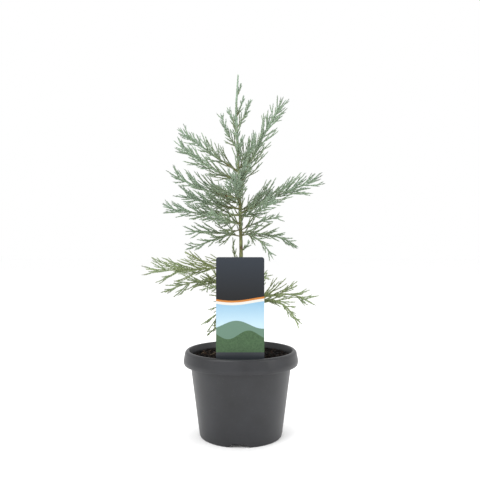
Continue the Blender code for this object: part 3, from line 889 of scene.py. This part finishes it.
@dataclass
class PottingMix:
    """The filling of bark and peat, with loose bits and a few fallen twigs on top."""

    label: PlantLabel
    top: float = 0.117
    radius: float = 0.0737
    depth: float = 0.014
    draft: float = 0.002
    trunk_place: Vector = field(default_factory=lambda: Vector((0.002, 0.0)))
    trunk_clearance: float = 0.0062
    label_clearance: tuple[float, float] = (0.004, 0.0045)
    chip_count: int = 2600
    chip_tones: tuple[float, ...] = (0.0, 0.05, 0.1, 0.2, 0.35, 0.5, 0.75)
    twig_count: int = 14
    twig_radii: tuple[float, ...] = (0.0006, 0.0005, 0.0002)
    sides: int = 120
    rings: int = 44
    seed: int = 77
    finish: PottingMixFinish = PottingMixFinish()

    def height_at(self, across: float, along: float) -> float:
        """The surface's height at a place, level at the trunk's foot and at the wall.

        Args:
            across: The place along X.
            along: The place along Y.

        Returns:
            The height.
        """
        spot = Vector((across, along, 0.0))
        away = eased((spot.length - 0.008) / 0.008) * eased((self.radius - spot.length) / 0.004)
        coarse = noise.noise(spot * 60.0)
        fine = noise.noise(spot * 260.0 + Vector((3.1, 5.7, 0.4)))
        return self.top + away * (0.0014 * coarse + 0.0011 * fine - 0.0004)

    def surface(self) -> bpy.types.Mesh:
        """Spins a disc and lifts its top into crumbs.

        Returns:
            The surface's mesh.
        """
        step = self.radius / self.rings
        section = [(step * number, self.top) for number in range(self.rings + 1)]
        low = self.top - self.depth
        work = spun(section + [(self.radius - self.draft, low), (0.0, low)], self.sides)
        for vertex in work.verts:
            if vertex.co.z > self.top - 0.001:
                vertex.co.z = self.height_at(vertex.co.x, vertex.co.y)
        mesh = to_mesh(work, "potting_mix")
        set_tones(mesh, numpy.tile((0.15, 0.0, 0.0), (len(mesh.vertices), 1)))
        return mesh

    def is_open(self, place: Vector) -> bool:
        """Says whether a loose bit can lie at a place, clear of the trunk and the label.

        Args:
            place: The place.

        Returns:
            Whether it is clear.
        """
        by_trunk = (place.xy - self.trunk_place).length < self.trunk_clearance
        beside, before = self.label_clearance
        by_label = (abs(place.x - self.label.across) < self.label.width / 2.0 + beside
                    and abs(place.y - self.label.along) < before)
        return not by_trunk and not by_label

    def add_chip(self, joined: JoinedMesh, template: Template, source: random.Random) -> None:
        """Draws one bark chip, and adds it where its place is open.

        Args:
            joined: What it is added to.
            template: The splinter of bark.
            source: Where its draws come from.
        """
        radius = (self.radius - 0.004) * math.sqrt(source.random())
        turn = source.uniform(0.0, math.tau)
        place = Vector((radius * math.cos(turn), radius * math.sin(turn), 0.0))
        size = source.uniform(0.0011, 0.0034) * (1.8 if source.random() < 0.08 else 1.0)
        spin = Matrix.Rotation(source.uniform(0.0, math.tau), 3, "Z")
        tilt = Matrix.Rotation(source.uniform(-0.5, 0.5), 3, "X")
        lean = Matrix.Rotation(source.uniform(-0.4, 0.4), 3, "Y")
        shares = [source.uniform(*span) for span in ((0.9, 1.7), (0.45, 0.9), (0.25, 0.5))]
        shape = Matrix.Diagonal([size * share for share in shares])
        tone = source.choice(self.chip_tones)
        place.z = self.height_at(place.x, place.y) + size * 0.12
        if self.is_open(place):
            matrix = numpy.array(spin @ tilt @ lean @ shape)
            places = template.places @ matrix.T + numpy.array(place)
            joined.add(places, template.faces, numpy.tile((tone, 0.0, 0.0), (len(places), 1)))

    def add_twig(self, joined: JoinedMesh, template: Template, source: random.Random) -> None:
        """Draws one fallen twig left of the trunk, and adds it where its place is open.

        Args:
            joined: What it is added to.
            template: The straight tube.
            source: Where its draws come from.
        """
        centre = Vector((source.uniform(-0.058, -0.012), source.uniform(-0.01, 0.05), 0.0))
        turn = source.uniform(0.0, math.tau)
        half = Vector((math.cos(turn), math.sin(turn), 0.0)) * source.uniform(0.004, 0.009)
        ends = [centre - half, centre, centre + half]
        if all(self.is_open(end) and end.length < 0.068 for end in ends):
            for end in ends:
                end.z = self.height_at(end.x, end.y) + 0.0011
            places = bent_tube(template, rows_of(ends), numpy.array(self.twig_radii))
            joined.add(places, template.faces, numpy.tile((0.95, 0.0, 0.0), (len(places), 1)))

    def build(self) -> None:
        """Builds the surface and the bits that lie on it."""
        material = self.finish.material()
        make_piece("potting_mix", self.surface(), material, ("soil",))
        source = random.Random(self.seed)
        joined = JoinedMesh()
        chip = Template.chip()
        for _ in range(self.chip_count):
            self.add_chip(joined, chip, source)
        rod = Template.tube(5, 4)
        for _ in range(self.twig_count):
            self.add_twig(joined, rod, source)
        bits = joined.mesh("loose_bark_bits")
        make_piece("loose_bark_bits", bits, material, sharp=30.0)


@dataclass
class Trunk:
    """The trunk's line and girth, as the solids have them: stations of height, x and y."""

    stations: tuple[tuple[float, float, float], ...] = (
        (0.1173, 0.0020, 0.0000),
        (0.266, 0.0004, 0.0010),
        (0.350, -0.0017, 0.0000),
        (0.420, -0.0045, 0.0010),
        (0.480, -0.0070, 0.0018),
        (0.534, -0.0042, 0.0010),
    )
    root_radius: float = 0.0036
    tip_radius: float = 0.0007
    taper: float = 0.8
    flare: float = 0.0028
    flare_height: float = 0.006

    @property
    def foot(self) -> float:
        """The height at which it leaves the soil."""
        return self.stations[0][0]

    @property
    def tip(self) -> float:
        """The leader's height."""
        return self.stations[-1][0]

    def point(self, height: float) -> Vector:
        """The trunk's middle at a height, on a smooth curve through its stations.

        Args:
            height: The height.

        Returns:
            The middle.
        """
        heights = [station[0] for station in self.stations]
        height = min(self.tip, max(self.foot, height))
        index = int(numpy.searchsorted(heights, height, side="right")) - 1
        index = min(len(heights) - 2, max(0, index))
        before = self.stations[max(0, index - 1)]
        start = self.stations[index]
        end = self.stations[index + 1]
        after = self.stations[min(len(heights) - 1, index + 2)]
        span = end[0] - start[0]
        share = (height - start[0]) / span
        place = []
        for axis in (1, 2):
            slope_in = (end[axis] - before[axis]) / (end[0] - before[0]) if index > 0 else 0.0
            slope_out = (after[axis] - start[axis]) / (after[0] - start[0])
            place.append(
                (2.0 * share ** 3 - 3.0 * share ** 2 + 1.0) * start[axis]
                + (share ** 3 - 2.0 * share ** 2 + share) * span * slope_in
                + (3.0 * share ** 2 - 2.0 * share ** 3) * end[axis]
                + (share ** 3 - share ** 2) * span * slope_out)
        return Vector((place[0], place[1], height))

    def radius(self, height: float) -> float:
        """The trunk's radius at a height, with its flare at the root.

        Args:
            height: The height.

        Returns:
            The radius.
        """
        share = min(1.0, max(0.0, (height - self.foot) / (self.tip - self.foot)))
        thick = self.tip_radius + (self.root_radius - self.tip_radius) * (1.0 - share) ** self.taper
        return thick + self.flare * math.exp(-(height - self.foot) / self.flare_height)

    def path(self, low: float, high: float, count: int) -> tuple[numpy.ndarray, numpy.ndarray]:
        """Gives the trunk's middle and its radii at some heights between two.

        Args:
            low: The lower height.
            high: The upper height.
            count: How many points the path has.

        Returns:
            The points and the radius at each.
        """
        heights = numpy.linspace(low, high, count)
        radii = numpy.array([self.radius(height) for height in heights])
        return rows_of([self.point(height) for height in heights]), radii


class Tier(Enum):
    """The crown's levels, each of which is one piece of twigs and one of leaves."""

    CROWN = "crown"
    HIGH = "high"
    MIDDLE = "middle"
    LOW = "low"
    SKIRT = "skirt"

    @property
    def slot(self) -> str:
        """The record's slot of the level's foliage."""
        return "lower_foliage" if self is Tier.SKIRT else "upper_foliage"


TIER_FLOORS_MM = ((400.0, Tier.CROWN), (355.0, Tier.HIGH), (318.0, Tier.MIDDLE), (260.0, Tier.LOW))


@dataclass(frozen=True)
class Bough:
    """A bough as the solids have it: millimetres and degrees, 0 to the right, -90 to the front.

    Bare is the share of its length that is a bare limb, and lift how far its twigs turn up.
    """

    name: str
    height: float
    azimuth: float
    length: float
    rise_start: float
    rise_end: float
    bare: float
    twig_length: float
    lift: float

    @property
    def tier(self) -> Tier:
        """The crown's level that the bough belongs to."""
        return next((tier for floor, tier in TIER_FLOORS_MM if self.height > floor), Tier.SKIRT)

    def radius(self, share: float) -> float:
        """The bough's radius at a share of its length."""
        root = min(0.0020, max(0.0009, 0.0145 * self.length * MM))
        return 0.0005 + (root - 0.0005) * max(0.0, 1.0 - share) ** 0.9


BOUGHS = (
    Bough("leader_sprig", 503, 20, 20, 65, 75, 0.0, 7, 0.2),
    Bough("crown_front", 471, -30, 33, 62, 72, 0.0, 10, 0.2),
    Bough("crown_right", 455, 20, 50, 54, 74, 0.0, 15, 0.2),
    Bough("crown_left", 452, 200, 35, 66, 65, 0.0, 11, 0.2),
    Bough("crown_back", 437, 100, 48, 58, 72, 0.0, 16, 0.2),
    Bough("crown_left_low", 423, 160, 63, 53, 75, 0.0, 18, 0.2),
    Bough("crown_front_low", 410, -60, 34, 68, 70, 0.0, 9, 0.2),
    Bough("right_high", 365, 20, 158, 69, 54, 0.18, 42, 0.1),
    Bough("right_high_inner", 394, -35, 60, 38, 82, 0.0, 20, 0.2),
    Bough("left_high_back", 390, 160, 123, 34, 36, 0.18, 34, 0.3),
    Bough("left_high_front", 376, -160, 112, 18, 39, 0.20, 34, 0.3),
    Bough("front_high", 374, -82, 76, 6, 24, 0.0, 26, 0.3),
    Bough("back_high", 358, 98, 112, 16, 30, 0.20, 34, 0.3),
    Bough("left_mid_back", 350, 170, 115, 11, 30, 0.20, 40, 0.6),
    Bough("left_mid_front", 335, -145, 103, 5, 12, 0.20, 36, 0.4),
    Bough("left_mid", 326, -172, 113, -3, 14, 0.22, 36, 0.3),
    Bough("right_mid", 328, -12, 124, 27, 17, 0.20, 44, 0.6),
    Bough("front_mid", 342, -95, 92, 12, 28, 0.20, 32, 0.4),
    Bough("front_right_mid", 322, -52, 82, 8, 20, 0.0, 28, 0.4),
    Bough("front_left_mid", 312, -120, 88, 2, 15, 0.0, 30, 0.4),
    Bough("back_mid", 342, 118, 105, 15, 25, 0.20, 36, 0.4),
    Bough("back_right_mid", 333, 55, 98, 15, 22, 0.20, 34, 0.4),
    Bough("back_left_mid", 314, 135, 95, 8, 12, 0.0, 32, 0.3),
    Bough("right_low_back", 303, 30, 78, 26, 8, 0.0, 26, 0.2),
    Bough("left_low", 294, 165, 87, 13, -2, 0.0, 30, 0.2),
    Bough("left_low_front", 305, -163, 88, -22, -19, 0.0, 24, 0.1),
    Bough("right_low", 295, -8, 88, 14, -36, 0.0, 28, 0.0),
    Bough("right_low_front", 301, -38, 72, -8, -60, 0.0, 22, 0.0),
    Bough("right_shoot", 272, -20, 20, 30, 65, 0.0, 9, 0.2),
    Bough("left_shoot", 234, 148, 60, 62, 88, 0.0, 14, 0.2),
    Bough("left_skirt", 252, -170, 139, -9, 4, 0.22, 52, 0.2),
    Bough("left_skirt_front", 213, -150, 125, 28, -25, 0.20, 36, 0.0),
    Bough("back_skirt", 248, 95, 95, 2, -8, 0.0, 34, 0.1),
    Bough("back_right_skirt", 228, 60, 88, 8, -8, 0.0, 32, 0.1),
    Bough("back_left_skirt", 216, 130, 98, 8, -15, 0.0, 34, 0.0),
    Bough("front_skirt", 226, -100, 50, 10, -5, 0.0, 14, 0.2),
    Bough("left_hanging", 204, -140, 74, 6, -84, 0.0, 38, -0.2),
    Bough("left_hanging_low", 178, -165, 62, -12, -48, 0.0, 14, 0.0),
    Bough("right_skirt", 178, -8, 118, 54, -36, 0.22, 38, 0.3),
    Bough("right_skirt_front", 166, -40, 132, 72, -70, 0.0, 32, 0.0),
    Bough("back_hanging", 190, 85, 85, 2, -30, 0.0, 28, 0.0),
)
WARMTH = {Tier.SKIRT: 0.42, Tier.LOW: 0.2}

UPPER_LEAF = WaxyScaleLeaf(
    "waxy_scale_leaf_grey_green", inner="#506638", bloom="#9bb09d", warm="#7f9055", tip="#8f9792")
LOWER_LEAF = WaxyScaleLeaf(
    "waxy_scale_leaf_green", inner="#4d6130", bloom="#93a584", warm="#8f9a4e", tip="#8f9287")
TWIG_SKIN = WaxyScaleLeaf(
    "green_twig_skin", inner="#6a5f40", bloom="#7d8f72", warm="#7f8450", tip="#8d8b88",
    roughness=0.7)


def direction(rise: float, turn: float) -> Vector:
    """The unit vector of a rise over the level and a turn round Z."""
    return Vector((math.cos(rise) * math.cos(turn), math.cos(rise) * math.sin(turn), math.sin(rise)))


def along(path: list[Vector], share: float) -> tuple[Vector, Vector]:
    """Gives the point and the unit heading at a share of a path's length.

    Args:
        path: The path's points.
        share: The share of its length, from 0 to 1.

    Returns:
        The point and the unit heading.
    """
    spot = min(len(path) - 1.0001, max(0.0, share * (len(path) - 1)))
    index = int(spot)
    heading = (path[index + 1] - path[index]).normalized()
    return path[index].lerp(path[index + 1], spot - index), heading


@dataclass
class Shoot:
    """A leafy stem on its path, with what its leaves' tones start from."""

    path: numpy.ndarray
    radii: numpy.ndarray
    spray: float
    outer: float
    warm: float
    leaf_length: float
    clad_from: float = 0.0
    density: float = 1.0


@dataclass(frozen=True)
class TwigRow:
    """How a row of twigs follows a bough: pairs are ranges, and a play goes to both sides."""

    spacing: float
    first_share: float
    share_span: float
    share_play: float
    first_turn: float
    turn_play: float
    spread: tuple[float, float]
    length_play: tuple[float, float]
    least_length: float = 0.0
    skips_bare: bool = False


SOLIDS_ROW = TwigRow(
    0.0148, 0.04, 0.88, 0.25, 0.0, math.radians(25.0), (math.radians(28.0), math.radians(44.0)),
    (0.78, 1.15), skips_bare=True)
INFILL_ROW = TwigRow(
    0.0042, 0.05, 0.84, 0.35, 1.1, 0.6, (math.radians(20.0), math.radians(40.0)), (0.75, 1.35),
    least_length=0.005)
LOW_INFILL_ROW = replace(INFILL_ROW, spacing=0.0068)


@dataclass
class Crown:
    """All foliage: each bough's stem, the solids' own twigs, finer twigs and scale leaves."""

    trunk: Trunk
    label: PlantLabel
    seed: int = 1853
    steps: int = 24
    stem_points: int = 24
    curl: float = 0.35
    shortening: float = 0.55
    twig_radius: float = 0.00078
    tip_radius: float = 0.00045
    twig_points: int = 5
    side_spacing: float = 0.0145
    side_spread: float = math.radians(22.0)
    sprig_count: int = 46
    sprig_heights: tuple[float, float] = (0.292, 0.452)
    sprig_rise: tuple[float, float] = (math.radians(25.0), math.radians(65.0))
    leaf_spacing: float = 0.00168
    leaf_spread: tuple[float, float] = (math.radians(6.0), math.radians(15.0))
    leaf_length: float = 0.0033
    pot_clearance: float = 0.129
    shoots: dict[Tier, list[Shoot]] = field(default_factory=lambda: {tier: [] for tier in Tier})

    def bough_path(self, bough: Bough) -> list[Vector]:
        """A bough's middle line, whose rise goes evenly from its start to its tip.

        Args:
            bough: The bough.

        Returns:
            The line's points.
        """
        turn = math.radians(bough.azimuth)
        path = [self.trunk.point(bough.height * MM)]
        for number in range(self.steps):
            share = (number + 0.5) / self.steps
            rise = math.radians(bough.rise_start + (bough.rise_end - bough.rise_start) * share)
            path.append(path[-1] + direction(rise, turn) * (bough.length * MM / self.steps))
        return path

    def twig(
            self, bough: Bough, path: list[Vector], share: float, turn: float, spread: float,
            length: float) -> list[Vector]:
        """Grows one twig from a bough.

        Args:
            bough: The bough.
            path: The bough's middle line.
            share: Where on it the twig starts.
            turn: The twig's turn round it.
            spread: The angle between the two.
            length: The twig's length.

        Returns:
            The twig's root, middle and tip.
        """
        root, heading = along(path, share)
        side = heading.cross(UP).normalized()
        upward = side.cross(heading).normalized()
        outward = upward * math.cos(turn) + side * math.sin(turn) + upward * bough.lift
        start_way = heading * math.cos(spread) + outward.normalized() * math.sin(spread)
        end_way = (start_way + heading * self.curl + UP * (self.curl * 0.6)).normalized()
        middle = root + (start_way * 0.75 + end_way * 0.25) * (length * 0.5)
        return [root, middle, root + (start_way + end_way).normalized() * length]

    def twig_row(
            self, bough: Bough, path: list[Vector], source: random.Random,
            row: TwigRow) -> list[list[Vector]]:
        """Grows a row of twigs along a bough.

        Args:
            bough: The bough.
            path: Its middle line.
            source: Where the row's draws come from.
            row: How the twigs follow each other.

        Returns:
            Each twig's root, middle and tip.
        """
        bare = bough.bare if row.skips_bare else 0.0
        count = max(2, round(bough.length * MM * (1.0 - bare) / row.spacing))
        twigs = []
        for number in range(count):
            share_play = source.uniform(-row.share_play, row.share_play)
            share = row.first_share + row.share_span * (number + 0.5 + share_play) / count
            turn_play = source.uniform(-row.turn_play, row.turn_play)
            turn = number * GOLDEN_TURN + row.first_turn + turn_play
            spread = source.uniform(*row.spread)
            length = bough.twig_length * MM * (1.0 - self.shortening * share)
            length = max(row.least_length, length * source.uniform(*row.length_play))
            twigs.append(self.twig(bough, path, bare + (1.0 - bare) * share, turn, spread, length))
        return twigs

    def side_twigs(self, twig: list[Vector], source: random.Random) -> list[list[Vector]]:
        """Grows short twigs round a twig, shorter towards its tip.

        Args:
            twig: The twig's root, middle and tip.
            source: Where the draws come from.

        Returns:
            The root, middle and tip of each side twig.
        """
        length = (twig[2] - twig[0]).length
        count = round((length - 0.008) / self.side_spacing)
        found = []
        first_turn = source.uniform(0.0, math.tau)
        for number in range(max(0, count)):
            share = 0.18 + 0.55 * (number + source.uniform(0.2, 0.8)) / count
            root, heading = along(twig, share)
            level = heading.cross(Vector((0.3, 0.2, 1.0))).normalized()
            turned = Matrix.Rotation(first_turn + number * GOLDEN_TURN, 3, heading) @ level
            reach = max(0.005, length * (1.0 - share) * source.uniform(0.5, 0.9))
            start_way = heading * math.cos(self.side_spread) + turned * math.sin(self.side_spread)
            end_way = (start_way + heading * 0.4 + UP * 0.12).normalized()
            tip = root + (start_way + end_way).normalized() * reach
            found.append([root, root + start_way * (reach * 0.5), tip])
        return found

    def add_twig(
            self, tier: Tier, twig: list[Vector], radius: float, tone: tuple[float, float, float],
            leaf_share: float) -> bool:
        """Adds a twig to its tier where it keeps clear of the label and the pot.

        Args:
            tier: The crown's level.
            twig: The twig's root, middle and tip.
            radius: Its radius where it starts.
            tone: Its spray's shade, how far out it sits and how yellow it is, from 0 to 1.
            leaf_share: Its leaves' length as a share of the usual.

        Returns:
            Whether it was added.
        """
        root, middle, tip = rows_of(twig)
        handle = middle * 2.0 - (root + tip) * 0.5
        share = numpy.linspace(0.0, 1.0, self.twig_points)[:, None]
        path = root * (1.0 - share) ** 2 + handle * 2.0 * share * (1.0 - share) + tip * share ** 2
        low = (path[:, 2] < self.pot_clearance) & (numpy.hypot(path[:, 0], path[:, 1]) > 0.012)
        if self.label.holds(path, 0.0022).any() or low.any():
            return False
        radii = numpy.linspace(radius, self.tip_radius, self.twig_points)
        self.shoots[tier].append(Shoot(path, radii, *tone, self.leaf_length * leaf_share))
        return True

    def grow(self, bough: Bough) -> None:
        """Grows a bough's stem, its twigs and their side twigs.

        Args:
            bough: The bough.
        """
        tier = bough.tier
        path = self.bough_path(bough)
        seed = self.seed + BOUGHS.index(bough)
        source = random.Random(seed)
        finer = random.Random(seed + 1000)
        spray = finer.random()
        warmth = WARMTH.get(tier, 0.08)
        last = self.stem_points - 1
        shares = [bough.bare + (1.0 - bough.bare) * step / last for step in range(self.stem_points)]
        stem = rows_of([along(path, share)[0] for share in shares])
        radii = numpy.array([bough.radius(share) * 0.82 for share in shares])
        self.shoots[tier].append(
            Shoot(stem, radii, spray, 0.45, warmth, self.leaf_length * 1.25, 0.12))
        infill = LOW_INFILL_ROW if tier in (Tier.LOW, Tier.SKIRT) else INFILL_ROW
        twigs = self.twig_row(bough, path, source, SOLIDS_ROW)
        twigs += self.twig_row(bough, path, finer, infill)
        for twig in twigs:
            away = (twig[0] - path[0]).length / (bough.length * MM)
            shade = min(1.0, max(0.0, spray * 0.6 + finer.random() * 0.4))
            warm = warmth * (1.25 - away) + 0.25 * finer.random() * (1.0 - away)
            outer = min(1.0, 0.25 + 0.65 * away + 0.1 * finer.random())
            if self.add_twig(tier, twig, self.twig_radius, (shade, outer, warm), 1.0):
                for side in self.side_twigs(twig, finer):
                    tone = (shade, outer + 0.05, warm)
                    self.add_twig(tier, side, self.twig_radius * 0.72, tone, 0.88)

    def grow_sprigs(self) -> None:
        """Sets short twigs straight on the trunk, where the boughs start."""
        source = random.Random(self.seed + 5000)
        low, high = self.sprig_heights
        for number in range(self.sprig_count):
            height = low + (high - low) * (number + source.random()) / self.sprig_count
            heading = direction(source.uniform(*self.sprig_rise), number * GOLDEN_TURN)
            length = source.uniform(0.010, 0.026)
            root = self.trunk.point(height)
            way = (heading + UP * 0.5).normalized()
            tip = root + (heading + way).normalized() * length
            tier = Tier.LOW if height < 0.33 else Tier.MIDDLE
            outer = 0.2 + 0.5 * eased((height - low) / (high - low))
            twig = [root, root + heading * length * 0.5, tip]
            self.add_twig(tier, twig, self.twig_radius, (source.random(), outer, 0.25), 1.05)

    def grow_leader(self) -> None:
        """Clothes the trunk in leaves from the middle of the crown to its tip."""
        for low, high, tier, outer, length in (
                (0.295, 0.345, Tier.LOW, 0.12, 1.0), (0.345, 0.400, Tier.MIDDLE, 0.45, 1.3),
                (0.400, 0.5335, Tier.CROWN, 0.6, 1.4)):
            path, radii = self.trunk.path(low, high, 30)
            self.shoots[tier].append(
                Shoot(path, radii * 0.95, 0.5, outer, 0.1, self.leaf_length * length, 0.0, 1.8))

    def add_leaves(
            self, joined: JoinedMesh, leaf: Template, shoot: Shoot,
            draws: numpy.random.Generator) -> None:
        """Sets a shoot's leaves round it in turns of the golden angle.

        Args:
            joined: What they are added to.
            leaf: The leaf of unit length.
            shoot: The leafy stem.
            draws: The tier's source of random numbers.
        """
        steps = numpy.linalg.norm(numpy.diff(shoot.path, axis=0), axis=1)
        reach = numpy.concatenate(([0.0], numpy.cumsum(steps)))
        bare = shoot.clad_from
        crowding = (1.0 + shoot.radii.mean() / 0.0009) * shoot.density
        count = max(3, int(reach[-1] * (1.0 - bare) / self.leaf_spacing * crowding))
        share = bare + (1.0 - bare) * (numpy.arange(count) + 0.5) / count
        spots = share * reach[-1]
        heading = unit(between(spots, reach, numpy.gradient(shoot.path, axis=0)))
        first = unit(numpy.cross(heading, numpy.array((0.31, 0.17, 0.93))))
        turn = numpy.arange(count) * GOLDEN_TURN + draws.uniform(0.0, math.tau)
        turn = (turn + draws.uniform(-0.25, 0.25, count))[:, None]
        outward = first * numpy.cos(turn) + numpy.cross(heading, first) * numpy.sin(turn)
        spread = (draws.uniform(*self.leaf_spread, count) * (1.0 - 0.5 * share ** 4))[:, None]
        way = heading * numpy.cos(spread) + outward * numpy.sin(spread)
        lifted = unit(outward - way * (outward * way).sum(axis=1)[:, None])
        length = shoot.leaf_length * draws.uniform(0.8, 1.2, count) * (1.0 - 0.25 * share ** 3)
        radius = numpy.interp(spots, reach, shoot.radii)[:, None]
        root = between(spots, reach, shoot.path) + outward * radius * 0.85
        clear = ~self.label.holds(root + way * length[:, None], 0.0004)
        count = int(clear.sum())
        if count == 0:
            return
        axes = numpy.stack((numpy.cross(lifted, way), lifted, way), axis=1) * length[:, None, None]
        places = root[clear][:, None, :] + numpy.einsum("kc,ncd->nkd", leaf.places, axes[clear])
        faces = leaf.faces[None] + numpy.arange(count)[:, None, None] * len(leaf.places)
        share = share[clear]
        tones = numpy.stack((
            shoot.spray + draws.uniform(-0.2, 0.2, count),
            shoot.outer + 0.25 * (share - 0.4) + 0.12 * (share > 0.93),
            shoot.warm + draws.uniform(-0.08, 0.08, count)), axis=1).clip(0.0, 1.0)
        joined.add(
            places.reshape(-1, 3), faces.reshape(-1, 3), numpy.repeat(tones, len(leaf.places), axis=0))

    def leaves(self, tier: Tier) -> bpy.types.Mesh:
        """Joins every leaf of a tier.

        Args:
            tier: The crown's level.

        Returns:
            The leaves' mesh.
        """
        draws = numpy.random.default_rng(self.seed + len(tier.value))
        leaf = Template.scale_leaf(0.34, 0.23, 0.13)
        joined = JoinedMesh()
        for shoot in self.shoots[tier]:
            self.add_leaves(joined, leaf, shoot, draws)
        return joined.mesh("leaves")

    def twigs(self, tier: Tier) -> bpy.types.Mesh:
        """Joins the tubes along every shoot of a tier.

        Args:
            tier: The crown's level.

        Returns:
            The tubes' mesh.
        """
        slim = Template.tube(4, self.twig_points)
        stout = Template.tube(7, self.stem_points)
        joined = JoinedMesh()
        for shoot in self.shoots[tier]:
            template = slim if len(shoot.path) == self.twig_points else stout
            share = template.places[:, 2]
            outer = numpy.clip(shoot.outer - 0.3 + 0.4 * share, 0.0, 1.0)
            tones = numpy.stack((share * 0.0 + shoot.spray, outer, share * 0.0 + shoot.warm), axis=1)
            joined.add(bent_tube(template, shoot.path, shoot.radii), template.faces, tones)
        return joined.mesh("twigs")

    def build(self) -> None:
        """Grows the crown and makes a piece of twigs and a piece of leaves for each tier."""
        for bough in BOUGHS:
            self.grow(bough)
        self.grow_sprigs()
        skin = TWIG_SKIN.material()
        upper = UPPER_LEAF.material()
        lower = LOWER_LEAF.material()
        for tier in Tier:
            nodes = tuple("mass_" + bough.name for bough in BOUGHS if bough.tier is tier)
            make_piece("twigs_" + tier.value, self.twigs(tier), skin, nodes)
        self.grow_leader()
        for tier in Tier:
            material = lower if tier is Tier.SKIRT else upper
            make_piece("leaves_" + tier.value, self.leaves(tier), material)


@dataclass
class Limbs:
    """The bark of the trunk and of the boughs' bare stretches, in low relief."""

    trunk: Trunk
    crown: Crown
    relief: float = 0.00022
    trunk_rings: int = 300
    trunk_sides: int = 18
    bough_rings: int = 26
    bough_sides: int = 10
    finish: YoungBark = YoungBark()

    def add_limb(
            self, joined: JoinedMesh, template: Template, path: numpy.ndarray,
            radii: numpy.ndarray) -> None:
        """Adds one limb, whose bark is pushed in and out along its radius.

        Args:
            joined: What it is added to.
            template: The straight tube.
            path: The limb's middle line.
            radii: Its radius at each point.
        """
        places = bent_tube(template, path, radii)
        outward = unit(places - bent_tube(template, path, radii * 0.0))
        scaled = places * numpy.array((900.0, 900.0, 170.0))
        depth = numpy.array([noise.noise(Vector(place)) for place in scaled])
        places = places + outward * (depth * self.relief)[:, None]
        joined.add(places, template.faces, numpy.zeros((len(places), 3)))

    def build(self) -> None:
        """Builds the bark of every limb as one piece."""
        joined = JoinedMesh()
        path, radii = self.trunk.path(self.trunk.foot, self.trunk.tip, self.trunk_rings)
        self.add_limb(joined, Template.tube(self.trunk_sides, self.trunk_rings), path, radii)
        template = Template.tube(self.bough_sides, self.bough_rings)
        nodes = ["trunk"]
        for bough in BOUGHS:
            if not bough.bare:
                continue
            nodes.append("bough_" + bough.name)
            line = self.crown.bough_path(bough)
            shares = numpy.linspace(0.0, bough.bare + 0.02, self.bough_rings)
            path = rows_of([along(line, share)[0] for share in shares])
            radii = numpy.array([bough.radius(share) for share in shares])
            self.add_limb(joined, template, path, radii)
        material = self.finish.material()
        bark = joined.mesh("bark")
        make_piece("trunk_and_bough_bark", bark, material, tuple(nodes), sharp=60.0)


@dataclass(frozen=True)
class SoftLight:
    """A soft studio lamp, with its size in metres and its power in watts."""

    name: str
    place: tuple[float, float, float]
    size: float
    power: float

    def build(self, aim: Vector) -> None:
        """Places the lamp, turned to the plant.

        Args:
            aim: The point that it faces.
        """
        lamp = bpy.data.lights.new(self.name, "AREA")
        lamp.shape = "SQUARE"
        lamp.size = self.size
        lamp.energy = self.power
        holder = link(self.name, lamp)
        holder.location = self.place
        holder.rotation_euler = (aim - Vector(self.place)).to_track_quat("-Z", "Y").to_euler()


@dataclass
class Studio:
    """The pale floor, the soft light and the camera at the photograph's place."""

    camera_place: tuple[float, float, float] = (0.0, -0.82, 0.2745)
    focal_px: float = 550.0
    image_width_px: float = 480.0
    sensor_mm: float = 36.0
    axis_shift_px: float = -0.9
    horizon_shift_px: float = 9.0
    floor_size: float = 30.0
    white: str = "#ffffff"
    aim: tuple[float, float, float] = (0.0, 0.0, 0.25)
    lamps: tuple[SoftLight, ...] = (
        SoftLight("key_lamp", (-1.1, -1.3, 1.5), 1.1, 22.0),
        SoftLight("fill_lamp", (1.4, -0.9, 0.9), 1.0, 7.0),
        SoftLight("top_lamp", (0.2, 0.5, 1.9), 1.2, 12.0),
    )

    def build_camera(self) -> None:
        """Sets the camera level with the crown, as the photograph has it."""
        data = bpy.data.cameras.new("camera")
        data.sensor_fit = "HORIZONTAL"
        data.sensor_width = self.sensor_mm
        data.lens = self.focal_px / self.image_width_px * self.sensor_mm
        data.shift_x = self.axis_shift_px / self.image_width_px
        data.shift_y = self.horizon_shift_px / self.image_width_px
        data.clip_start = 0.01
        camera = link("camera", data)
        camera.location = self.camera_place
        camera.rotation_euler = (math.radians(90.0), 0.0, 0.0)
        bpy.context.scene.camera = camera

    def build_floor(self) -> None:
        """Lays the pale floor."""
        work = bmesh.new()
        bmesh.ops.create_grid(work, x_segments=1, y_segments=1, size=self.floor_size / 2.0)
        mesh = to_mesh(work, "floor")
        paper = Finish("matt_white_paper", 0.9, 0.1)
        paper.shader.inputs["Base Color"].default_value = linear(self.white)
        mesh.materials.append(paper.material)
        link("floor", mesh)

    def build_world(self) -> None:
        """Surrounds the plant with even white light."""
        world = bpy.data.worlds.new("white_studio")
        world.use_nodes = True
        background = world.node_tree.nodes["Background"]
        background.inputs["Color"].default_value = linear(self.white)
        background.inputs["Strength"].default_value = 1.0
        bpy.context.scene.world = world
        bpy.context.scene.view_settings.view_transform = "Standard"

    def build(self) -> None:
        """Builds the whole studio."""
        self.build_camera()
        self.build_floor()
        self.build_world()
        for lamp in self.lamps:
            lamp.build(Vector(self.aim))


def main() -> None:
    """Builds the studio and every piece."""
    logging.basicConfig(level=logging.INFO, format="%(name)s: %(message)s")
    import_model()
    Studio().build()
    trunk = Trunk()
    label = PlantLabel()
    crown = Crown(trunk, label)
    NurseryPot().build()
    PottingMix(label).build()
    label.build()
    Limbs(trunk, crown).build()
    crown.build()


if __name__ == "__main__":
    main()
